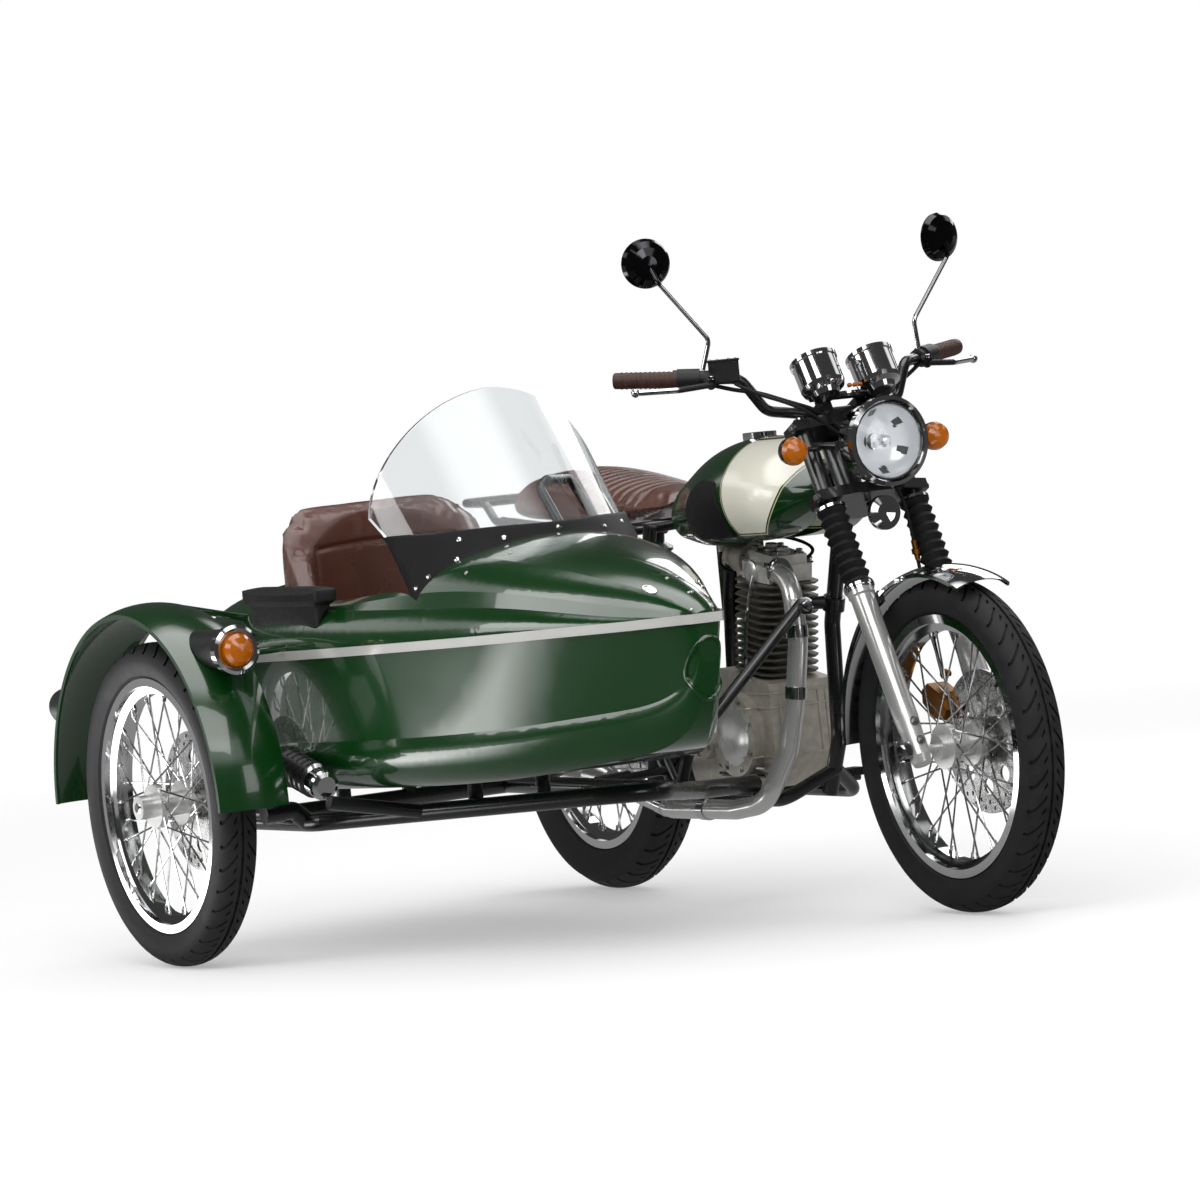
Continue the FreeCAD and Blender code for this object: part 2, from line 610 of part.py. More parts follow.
def build_front_lights():
    """Headlamp, indicators, instruments, horn and caliper, all carried by the fork."""
    centre = Vector(0, 160, 915)
    shell = turned([(0, 108), (30, 104), (60, 86), (78, 55), (84, 10), (84, 0), (79, 0), (79, 8), (73, 53),
                    (56, 80), (28, 100), (0, 104)], centre, Y_AXIS)
    ring = turned([(80, -12), (size.lamp_r, -8), (size.lamp_r, 6), (84.3, 6), (84.3, -0.3), (76, -0.3),
                   (76, -6)], centre, Y_AXIS)
    ears = []
    for sign in (1, -1):
        ears.append(tube([(sign * 82, 215, 915), (sign * size.leg_x, 240, 916),
                          on_fork(sign * size.leg_x, -26.4, 655)], 8, 20))
    solid_node("headlamp", Part.makeCompound([union([shell] + ears), ring]))
    solid_node("headlamp_lens", turned([(0, -20), (30, -18), (56, -13), (75.5, -7), (75.5, -3), (0, -12)],
                                       centre, Y_AXIS))
    stalk = tube([(size.leg_x + 8.5, 252, 912), (150, 250, 912)], 5)
    lamp = turned([(0, -26), (14, -24), (24, -16), (28, -4), (28, 4), (26, 14), (14, 26), (0, 28)],
                  (162, 248, 912), Y_AXIS)
    solid_node("front_indicators", both_sides(union([lamp, stalk])))
    cups = []
    tilt = Vector(0, 0.5, 0.87).normalize()
    for sign in (1, -1):
        cup = turned([(0, -46), (26, -46), (30, -36), (42, -30), (45, -22), (45, 28), (48, 30), (48, 38),
                      (43, 38), (43, 32), (0, 32)], (sign * 64, 288, 1050), tilt)
        cups.append(cup)
    bracket = box(-84, 84, -52, -40, size.yoke_high + 50, size.yoke_high + 62).transformed(fork_matrix())
    feet = both_sides(box(53, 63, -52, -24, size.yoke_high + size.yoke_t + size.seat_gap,
                          size.yoke_high + 56).transformed(fork_matrix()))
    solid_node("instruments", union(cups + [bracket] + feet.Solids))
    horn = turned([(0, -20), (20, -24), (34, -20), (34, -8), (20, 2), (14, 22), (0, 22)],
                  (0, 212, 776), Y_AXIS)
    strap = tube([(0, 230, 776), on_fork(0, 10, size.yoke_low - 2.6)], 7)
    solid_node("horn", union([horn, strap]))
    caliper = Part.Face(outline_wire([(0, 62, 100), (0, 82, 88), (0, 112, 108), (0, 130, 150), (0, 118, 172),
                                      (0, 92, 174), (0, 66, 140)])).extrude(Vector(44, 0, 0))
    caliper.translate(Vector(size.disc_x - 21, 0, 0))
    lug = box(size.disc_x + 19, size.leg_x + 6, size.slider_r + size.seat_gap, 78, 96, 138)
    slot = Part.makeCylinder(size.disc_r + 6, size.disc_t + 10,
                             Vector(size.disc_x - size.disc_t / 2 - 5, 0, 0), X_AXIS)
    feature = doc.addObject("Part::Feature", "front_caliper")
    feature.Shape = caliper.fuse(lug).cut(slot)
    place_on_fork(node(feature, "front_caliper"))


def arch_body(label, radius, half_out, half_in, sweep, thick, crown, lip=0):
    """Mudguard sheet: a crowned section with turned-in edges, revolved about X through a sweep."""
    body = new_body(label)
    if lip:
        outline = [
            (f"-({half_out})", f"{radius} - {lip}"), (f"-({half_out}) + 2 * {thick}", f"{radius} - {lip}"),
            (f"-({half_out}) + 2 * {thick}", radius, f"-({crown})"), (f"{half_in} - 2 * {thick}", radius),
            (f"{half_in} - 2 * {thick}", f"{radius} - {lip}"), (half_in, f"{radius} - {lip}"),
            (half_in, f"{radius} + {thick}", crown), (f"-({half_out})", f"{radius} + {thick}"),
        ]
    else:
        outline = [
            (f"-({half_out})", radius, f"-({crown})"), (half_in, radius),
            (half_in, f"{radius} + {thick}", crown), (f"-({half_out})", f"{radius} + {thick}"),
        ]
    revolve(body, new_sketch(body, "XY_Plane", [outline]), "H_Axis", angle=sweep)
    return body


def clamp(centre, direction, bar_r, half=14):
    """Ring that seats on a tube."""
    direction = Vector(*direction).normalize()
    base = Vector(*centre) - direction * half
    ring = Part.makeCylinder(bar_r + 6, 2 * half, base, direction)
    return ring, Part.makeCylinder(bar_r + size.seat_gap, 2 * half + 20, base - direction * 10, direction)


def build_front_fender():
    """Fender between the sliders, on two tabs that seat on them."""
    guard = arch_body("fender_sheet", "Size.front_tyre_r + 10", 60, 60, 114, "Size.guard_t", 14, 5)
    guard.Placement = Placement(Vector(), Rotation(X_AXIS, 27))
    tabs = doc.addObject("Part::Feature", "fender_tabs")
    inner = size.leg_x - size.slider_r - 3 - size.seat_gap
    tabs.Shape = both_sides(box(57, inner, -14, 14, 312, 336))
    place_on_fork(node(fuse("front_fender", guard, tabs), "front_fender"))


# ---------------------------------------------------------------- motorcycle
def backbone_path():
    """The frame's spine, from the steering head to the seat; the tank's tunnel follows it too."""
    return [on_fork(0, size.fork_offset, 638), (0, 560, 838), (0, 960, 775)]


def rail_path(sign):
    """Seat rail on one side: from the backbone, out and back, to its end behind the rear axle."""
    return [(0, 900, 776), (sign * (size.rail_x - 5), 985, 766), (sign * size.rail_x, 1200, 762),
            (sign * size.rail_x, size.wheelbase + size.rail_overhang, 788)]


def rail_height(y):
    """Height of the seat rail's centre line behind its last bend."""
    start, end = (Vector(*p) for p in rail_path(1)[2:])
    return start.z + (end.z - start.z) * (y - start.y) / (end.y - start.y)


def build_frame():
    """Head tube, backbone, downtube, cradle, seat rails and footrests."""
    r = size.frame_tube_r
    axis_low = on_fork(0, size.fork_offset, size.yoke_low + size.yoke_t + size.head_gap)
    axis_high = on_fork(0, size.fork_offset, size.yoke_high - size.head_gap)
    along = (axis_high - axis_low)
    head = Part.makeCylinder(size.head_r, along.Length, axis_low, along)
    bore = Part.makeCylinder(size.stem_r + size.running_gap, along.Length, axis_low, along)
    backbone = tube(backbone_path(), r + 4, 120)
    down = tube([axis_low + along * 0.5, (0, 432, 560), (0, 446, 330), (0, 500, 222)], r, 60)
    pieces = [head, backbone, down]
    for sign in (1, -1):
        pieces.append(tube([(0, 470, 270), (sign * size.cradle_x, 540, size.cradle_z),
                            (sign * size.cradle_x, 960, size.cradle_z), (sign * 90, 1010, 300),
                            (sign * 100, 1000, 600), (sign * 100, 950, 770)], size.cradle_r, 60))
        pieces.append(tube(rail_path(sign), size.rail_r, 80))
    pieces.append(tube([(size.cradle_x, 930, size.cradle_z), (230, 946, 205), (330, 930, 208)], 9, 30))
    pieces.append(box(226, 338, 918, 960, 210, 226))
    pieces.append(tube([(-88, 990, 268), (-270, 965, 262)], 9))
    pieces.append(tube([(-190, 976, 264), (-270, 965, 262)], 15))
    cross_y = size.wheelbase
    cross_z = rail_height(cross_y)
    pieces.append(tube([(-size.rail_x, cross_y, cross_z), (size.rail_x, cross_y, cross_z)],
                       9))
    for y, z in ((960, size.cradle_z), (1010, 330), (700, size.cradle_z + 9.7), (880, size.cradle_z + 9.7)):
        pieces.append(tube([(-size.cradle_x, y, z), (size.cradle_x, y, z)], 11))
    frame = union(pieces).cut(bore)
    solid_node("main_frame", frame)


HEAD_FRONT, HEAD_BACK = 54, 58


def cylinder_point(x, y, z):
    """World place of a point given from the cylinder's foot, along its own leaning axes."""
    lean = math.radians(size.cylinder_lean)
    return Vector(x, size.cylinder_y + y * math.cos(lean) - z * math.sin(lean),
                  size.cylinder_z + y * math.sin(lean) + z * math.cos(lean))


def build_engine():
    """Crankcase with round covers, finned barrel under a plain head, carburettor."""
    cases = new_body("engine_cases")
    top = [(y, f"Size.cylinder_z - Size.seat_gap + ({y} - Size.cylinder_y) * tan(Size.cylinder_lean)")
           for y in (760, 575)]
    profile = [(570, 300), (604, 236), (900, 236), (935, 330), (905, 430)] + top
    pad(cases, new_sketch(cases, "YZ_Plane", [profile]), 150, centred=True)
    for sign in (1, -1):
        for y, z, radius, height in ((690, 345, 84, 26), (838, 352, 60, 18)):
            cover = new_sketch(cases, "YZ_Plane", circles=[(y, z, radius)], offset=sign * 75)
            pad(cases, cover, height, backwards=(sign < 0))
    place(node(cases, "engine_cases"))

    barrel = new_body("engine_cylinder")
    core = new_sketch(barrel, "XY_Plane", circles=[(0, 0, "Size.fin_half * 0.8")], offset=0)
    pad(barrel, core, 196)
    half, cut = "Size.fin_half", "Size.fin_half * 0.72"
    octagon = [(f"-({half})", f"-({cut})"), (f"-({cut})", f"-({half})"), (cut, f"-({half})"),
               (half, f"-({cut})"), (half, cut), (cut, half), (f"-({cut})", half), (f"-({half})", cut)]
    fin = new_sketch(barrel, "XY_Plane", [octagon], offset=8)
    plate = pad(barrel, fin, 4)
    row_pattern(barrel, plate, fin, f"12 * Size.fin_pitch", 13)
    plan = [(-50, -HEAD_FRONT), (50, -HEAD_FRONT), (56, -30), (56, 40), (44, HEAD_BACK), (-44, HEAD_BACK),
            (-56, 40), (-56, -30)]
    head = new_sketch(barrel, "XY_Plane", [plan], offset=194)
    pad(barrel, head, 34)
    rocker = new_sketch(barrel, "XY_Plane", [[(-40, -50), (40, -50), (40, 46), (-40, 46)]], offset=226)
    pad(barrel, rocker, 22)
    place(node(barrel, "engine_cylinder"), y="Size.cylinder_y", z="Size.cylinder_z", axis=(1, 0, 0),
          angle="Size.cylinder_lean")

    inlet = cylinder_point(0, HEAD_BACK + size.seat_gap, 217)
    carb = turned([(0, 0), (24, 0), (24, 30), (34, 34), (34, 80), (26, 84), (26, 118), (0, 118)],
                  inlet, cylinder_point(0, HEAD_BACK + 100, 217) - inlet)
    bowl = Part.makeCylinder(26, 60, inlet + Vector(0, 52, -50))
    solid_node("carburettor", union([carb, bowl]))


def build_exhaust():
    """Header pipe from the port, under the engine, and the silencer."""
    port = cylinder_point(-30, 10 - HEAD_FRONT, 220)
    pipe = tube([port, (-42, 506, 644), (-50, 485, 533), (-62, 495, 420), (-76, 516, 315), (-122, 545, 213),
                 (-136, 640, 200), (-136, 900, 196), (-150, 1120, 250)], 20, 60)
    head = box(-80, 80, -HEAD_FRONT - size.seat_gap, 60, 150, 280)
    head.Placement = Placement(cylinder_point(0, 0, 0), Rotation(X_AXIS, size.cylinder_lean))
    pipe = pipe.cut(head)
    can = turned([(0, 0), (24, 0), (42, 60), (45, 500), (34, 560), (20, 562), (20, 540), (0, 540)],
                 (-150, 1118, 250), (0, 1, 0.09))
    solid_node("exhaust", union([pipe, can]))


def build_rear():
    """Swinging arm, rear dampers, fender, lamps, rack and chain."""
    y, z = size.wheelbase, size.rear_tyre_r
    arms = [tube([(sign * size.arm_x, 1040, 334), (sign * size.arm_x, y + 30, z)], 15) for sign in (1, -1)]
    pivot = tube([(-80, 1035.2, 334), (80, 1035.2, 334)], 14)
    axle = tube([(-size.arm_x - 20, y, z), (size.arm_x + 20, y, z)], size.axle_r)
    solid_node("rear_swingarm", union(arms + [pivot, axle]))

    top = Vector(size.damper_x, y - 70, rail_height(y - 70) - 21.4)
    bottom = Vector(size.damper_x, y - 10, z + 20)
    run = bottom - top
    length = run.Length
    spring = [(0, 0), (12, 0), (12, 30), (30, 40)]
    for i in range(8):
        spring += [(30, 46 + i * 28), (22, 54 + i * 28), (22, 60 + i * 28), (30, 68 + i * 28)]
    spring += [(14, 276), (14, length), (0, length)]
    damper = turned(spring, top, run)
    eyes = [tube([point + Vector(reach, 0, 0), point + Vector(16, 0, 0)], 14)
            for point, reach in ((top, size.rail_x + 14 - size.damper_x),
                                 (bottom, size.arm_x + 15 + size.seat_gap - size.damper_x))]
    solid_node("rear_dampers", both_sides(union([damper] + eyes)))

    fender_r = size.rear_tyre_r + size.fender_gap
    guard = arch_body("rear_fender_sheet", "Size.rear_tyre_r + Size.fender_gap", 66, 66, 132,
                      "Size.guard_t", 14, 5)
    guard.Placement = Placement(Vector(0, y, z), Rotation(X_AXIS, 12))
    hanger = doc.addObject("Part::Feature", "fender_hanger")
    hanger.Shape = box(-15, 15, y - 12, y + 12, z + fender_r + 15, rail_height(y) - 9 - size.seat_gap)
    place(node(fuse("rear_fender", guard, hanger), "rear_fender"))

    slope = math.radians(48)
    seat_r = fender_r + size.guard_t + 14 + size.seat_gap
    outward = Vector(0, math.cos(slope), math.sin(slope))
    foot = Vector(0, y, z) + outward * seat_r
    stay = Part.makeCylinder(14, 60, foot, outward)
    lamp = turned([(0, 0), (46, 0), (46, 30), (38, 46), (0, 50)], foot + outward * 50 - Vector(0, 10, 0),
                  Y_AXIS)
    solid_node("rear_lamps", union([lamp, stay]))

    x, end = size.rail_x, y + size.rail_overhang
    half = [(x, end + 0.5, 788), (x, end + 30, 790.2), (x - 4, end + 80, 830), (x - 6, end + 200, 832)]
    rail = tube(half + [(-px, py, pz) for px, py, pz in half[::-1]], 9, 40)
    bars = [tube([(bar_x, end + 80, 830), (bar_x, end + 196, 832)], 6) for bar_x in (-40, 40)]
    cross = tube([(4 - x, end + 80, 830), (x - 4, end + 80, 830)], 7)
    solid_node("luggage_rack", union([rail, cross] + bars))

    solid_node("drive_chain", chain_loop())


def chain_loop():
    """Chain from the crankcase, round the rear sprocket and back; links are left plain."""
    x, y, z, half = size.sprocket_x - 4, size.wheelbase, size.rear_tyre_r, 5
    front, _, front_r, rear_r = 935 + size.seat_gap, 335, 38, size.sprocket_r + 1 + half
    wires = []
    for offset in (-half, half):
        rise = math.asin((rear_r - front_r) / (y - front))
        top = Vector(x, y - (rear_r + offset) * math.sin(rise), z + (rear_r + offset) * math.cos(rise))
        low = Vector(x, top.y, 2 * z - top.z)
        back = Vector(x, y + rear_r + offset, z)
        slope = math.tan(rise)
        start = Vector(x, front, top.z - slope * (top.y - front))
        end = Vector(x, front, low.z + slope * (low.y - front))
        wires.append([Part.makeLine(start, top), Part.Arc(top, back, low).toShape(), Part.makeLine(low, end)])
    (outer_start, outer_end) = (wires[1][0].firstVertex().Point, wires[1][2].lastVertex().Point)
    (inner_start, inner_end) = (wires[0][0].firstVertex().Point, wires[0][2].lastVertex().Point)
    ends = [Part.makeLine(outer_start, inner_start), Part.makeLine(outer_end, inner_end)]
    edges = wires[1] + wires[0] + ends
    face = Part.Face(Part.Wire(Part.__sortEdges__(edges)))
    return face.extrude(Vector(8, 0, 0))


TANK = (
    # y, half width, bottom, shoulder, top
    (350, 34, 802, 830, 854),
    (400, 98, 777, 838, 874),
    (470, 138, 747, 852, 916),
    (530, 147, 736, 856, 932),
    (620, 151, 729, 854, 937),
    (740, 128, 729, 838, 918),
    (880, 86, 742, 810, 864),
)
CAP_Y, CAP_R = 646, 34


def seat_stations():
    """Bike seat stations, as in TANK; the rear ones follow the rear axle and rest on the rails."""
    rear, rest = size.wheelbase, size.rail_r + 1.8
    return (
        (905, 80, 807, 817, 832),
        (980, 105, 797, 817, 842),
        (1080, 125, 781.5, 828, 856),
        (rear - 80, 132, rail_height(rear - 80) + rest, 858, 888),
        (rear + 100, 120, rail_height(rear + 100) + rest, 850, 872),
        (rear + 160, 90, 802, 840, 852),
    )


def crowned(stations, flat=0.72, grow=0):
    """Loft through sections with bowed sides and a crowned top; columns as in TANK."""
    wires = []
    for y, half, bottom, shoulder, top in stations:
        half, bottom, shoulder, top = half + grow, bottom - grow, shoulder + grow / 2, top + grow
        corner, middle = half * flat, (bottom + shoulder) / 2
        wires.append(outline_wire([
            (-corner, y, bottom), (corner, y, bottom), ("arc", (half, y, middle)), (half * 0.94, y, shoulder),
            ("arc", (0, y, top)), (-half * 0.94, y, shoulder), ("arc", (-half, y, middle)),
        ]))
    return Part.makeLoft(wires, True, False)


def build_tank_and_seat():
    tunnel = tube(backbone_path(), size.frame_tube_r + 4.3, 120)
    notch = box(-26, 26, 300, 960, 700, 800)
    low, high = on_fork(0, size.fork_offset, size.yoke_low), on_fork(0, size.fork_offset, size.yoke_high)
    head = Part.makeCylinder(size.head_r + 8, (high - low).Length, low, high - low)
    body = crowned(TANK).cut(tunnel).cut(notch).cut(box(-26, 26, 300, 400, 700, 862)).cut(head)
    solid_node("fuel_tank", body)
    cap = Part.makeCylinder(CAP_R, 46, Vector(0, CAP_Y, 900))
    solid_node("tank_cap", cap.cut(crowned(TANK, grow=size.seat_gap)))
    solid_node("bike_seat", crowned(seat_stations(), flat=0.92))
    pad_side = Part.Face(outline_wire([(0, 560, 745), (0, 700, 742), (0, 742, 790), ("arc", (0, 690, 848)),
                                       (0, 600, 858), (0, 566, 800)])).extrude(Vector(200, 0, 0))
    knee = crowned(TANK, grow=5).cut(crowned(TANK, grow=size.seat_gap)).common(pad_side)
    solid_node("knee_pads", both_sides(knee))
    cover = Part.makeLoft([outline_wire([(-x, 890, 560), (-x, 1060, 560), (-x, 1060, 720), (-x, 890, 740)])
                           for x in (114.5, 129)], True, False)
    solid_node("side_covers", both_sides(cover))


# ---------------------------------------------------------------- sidecar body
HULL = (
    # y, half width, waist, keel, keel half width, half width at the bilge (share), shelf height, crown height
    (-196, 24, 638, 556, 8, 0.75, 641, 652),
    (-170, 46, 637, 474, 14, 0.62, 643, 672),
    (-110, 80, 634, 414, 32, 0.66, 645, 703),
    (0, 142, 630, 382, 84, 0.80, 655, 742),
    (200, 236, 623, 356, 172, 0.93, 678, 788),
    (420, 300, 616, 343, 238, 0.97, 684, 804),
    (700, 340, 607, 336, 284, 0.985, 685, 728),
    (1000, 350, 598, 333, 296, 0.985, 682, 730),
    (1200, 340, 592, 338, 280, 0.985, 674, 738),
    (1420, 290, 585, 356, 226, 0.985, 642, 684),
    (1600, 196, 580, 400, 150, 0.985, 608, 630),
)
# deck section: share of the half width, then share of the rise from shelf to crown
DECK_SHELF, DECK_BASE, DECK_SIDE, DECK_SHOULDER = (0.875, 0), (0.84, 0.25), (0.755, 0.535), (0.633, 0.72)


def station_places(inset):
    """Distance along the hull of each station, with the end walls left by an inset."""
    places = [row[0] for row in HULL]
    places[0] += inset
    places[-1] -= inset
    return places


def hull_sections(inset, over=0):
    """Lower shell sections: near-upright sides, a rounded bilge and a flat keel.

    over carries the open top of an inner form past the waist, so that no film is left there.
    """
    wires = []
    for y, (_, half, waist, keel, keel_half, bilge, _, _) in zip(station_places(inset), HULL):
        w, m, k, z = half - inset, half * bilge - inset, keel_half - inset, keel + inset
        cx, mid, top = -SIDE, keel + 0.36 * (waist - keel), waist + over
        wires.append(outline_wire([
            (cx + w, y, top), (cx - w, y, top), (cx - m, y, mid),
            ("arc", (cx - k - (m - k) * 0.72, y, z + (mid - z) * 0.24)), (cx - k, y, z), (cx + k, y, z),
            ("arc", (cx + k + (m - k) * 0.72, y, z + (mid - z) * 0.24)), (cx + m, y, mid),
        ]))
    return wires


def deck_sections(inset, under=0):
    """Upper shell sections: a bulged side, a shelf, and a dome that rises inside it.

    under carries the open bottom of an inner form below the waist, so that no film is left there.
    """
    wires = []
    for y, (_, half, waist, _, _, _, shelf, crown) in zip(station_places(inset), HULL):
        waist = waist + size.seat_gap
        edge = (half * 0.965 - inset, waist + 0.6 * (shelf - waist) - inset * 0.5)
        points = [(half * share - inset, shelf + (crown - shelf) * rise - inset)
                  for share, rise in (DECK_SHELF, DECK_BASE, DECK_SIDE, DECK_SHOULDER)]
        right = [(half - inset, waist), edge] + points
        if under:
            right = [(half - inset, waist - under)] + right
        curves = (len(right) - 2, right.index(edge))
        outline = []
        for sign in (1, -1):
            side = list(enumerate(right))
            for i, (u, z) in side if sign > 0 else side[::-1]:
                spot = (-SIDE + sign * u, y, z)
                outline.append(("arc", spot) if i in curves else spot)
            if sign > 0:
                outline.append(("arc", (-SIDE, y, crown - inset)))
        wires.append(outline_wire(outline))
    return wires


def waist_sections(inset, half_height):
    """Rectangles round the waist line, for the trim that covers the shells' joint."""
    wires = []
    for y, (_, half, waist, *_) in zip(station_places(inset), HULL):
        w, cx = half - inset, -SIDE
        wires.append(outline_wire([(cx + w, y, waist - half_height), (cx + w, y, waist + half_height),
                                   (cx - w, y, waist + half_height), (cx - w, y, waist - half_height)]))
    return wires


def screen_cylinder(radius):
    """Leaning cylinder on whose front the windscreen and its coaming lie."""
    lean = math.radians(size.screen_lean)
    direction = Vector(0, math.sin(lean), math.cos(lean))
    foot = Vector(-SIDE, size.screen_y + size.screen_r / math.cos(lean), size.screen_z)
    return Part.makeCylinder(radius, 900, foot - direction * 320, direction)


def build_sidecar_body():
    """Two shells, the cockpit opening, trim, coaming, windscreen, seat and handles."""
    lower = Part.makeLoft(hull_sections(0), True, False)
    hollow = Part.makeLoft(hull_sections(size.skin, 30), True, False)
    lower = lower.cut(hollow)
    solid_node("sidecar_hull", lower)
    upper = Part.makeLoft(deck_sections(0), True, False)
    hollow = Part.makeLoft(deck_sections(size.skin, 30), True, False)
    cx = -SIDE
    well = box(cx - 262, cx + 262, 640, 1202, 500, 1000)
    front = screen_cylinder(size.screen_r + 10).common(box(cx - 262, cx + 262, 300, 1000, 500, 1000))
    upper = upper.cut(hollow).cut(well).cut(front)
    solid_node("sidecar_deck", upper)
    trim = Part.makeLoft(waist_sections(-7, 9), True, False)
    grown = [Part.makeLoft(hull_sections(-size.seat_gap), True, False),
             Part.makeLoft(deck_sections(-size.seat_gap), True, False),
             Part.makeLoft(waist_sections(-size.seat_gap, 12), True, False)]
    solid_node("waist_trim", trim.cut(grown))

    band = screen_cylinder(size.screen_r + 9.7).cut(screen_cylinder(size.screen_r + 0.3))
    band = band.common(box(cx - 262, cx + 262, 300, 640, 690, 830))
    solid_node("cowl_coaming", band)

    sheet_part = screen_cylinder(size.screen_r).cut(screen_cylinder(size.screen_r - size.screen_t))
    half, foot, top = 262, size.screen_z - 60, size.screen_top
    dome = outline_wire([
        (cx - 240, 0, foot), (cx - half, 0, foot + 130), ("arc", (cx - 186, 0, top - 84)), (cx, 0, top),
        ("arc", (cx + 186, 0, top - 84)), (cx + half, 0, foot + 130), (cx + 240, 0, foot),
        ("arc", (cx, 0, foot + 50)),
    ])
    prism_part = Part.Face(dome).extrude(Vector(0, 760, 0))
    solid_node("windscreen", sheet_part.common(prism_part))


CUSHION_TOP = 450


def build_sidecar_seats():
    """Tub-shaped seat back with wings that fall forward, cushion, grab handle and armrest."""
    cx, low, high = -SIDE, CUSHION_TOP + size.seat_gap, 892
    plan = outline_wire([
        (cx - 232, 985, low), (cx - 232, 1085, low), ("arc", (cx, 1178, low)), (cx + 232, 1085, low),
        (cx + 232, 985, low), (cx + 182, 985, low), (cx + 182, 1050, low), ("arc", (cx, 1108, low)),
        (cx - 182, 1050, low), (cx - 182, 985, low),
    ])
    back = Part.Face(plan).extrude(Vector(0, 0, high - low))
    side = cx - 300
    slope = outline_wire([(side, 900, 690), (side, 980, 700), (side, 1128, high), (side, 1128, 940),
                          (side, 900, 940)])
    back = back.cut(Part.Face(slope).extrude(Vector(600, 0, 0)))
    for sign in (1, -1):
        corner = outline_wire([(cx + sign * 150, 950, high + 1), (cx + sign * 205, 950, high - 20),
                               (cx + sign * 240, 950, high - 70), (cx + sign * 260, 950, high + 10)])
        back = back.cut(Part.Face(corner).extrude(Vector(0, 300, 0)))
    shell = Part.makeLoft(hull_sections(-size.seat_gap), True, False).cut(
        Part.makeLoft(hull_sections(size.skin + size.seat_gap, 30), True, False))
    solid_node("sidecar_seat_back", back.cut(shell))
    inside = Part.makeLoft(hull_sections(size.skin + size.seat_gap), True, False)
    cushion = box(cx - 225, cx + 225, 620, 1110, 320, CUSHION_TOP).common(inside)
    solid_node("sidecar_seat_cushion", cushion)
    handle = tube([(cx + 50, 323.5, 762), (cx + 50, 400, 790), (cx + 50, 490, 885), (cx + 74, 505, 900),
                   (cx + 156, 565, 896), (cx + 178, 575, 875), (cx + 178, 460, 765), (cx + 178, 381.5, 728)],
                  10, 24)
    solid_node("grab_handle", handle)
    deck = Part.makeLoft(deck_sections(-size.seat_gap), True, False)
    solid_node("armrest_pad", box(cx - 338, cx - 288, 720, 1060, 640, 734).cut(deck))


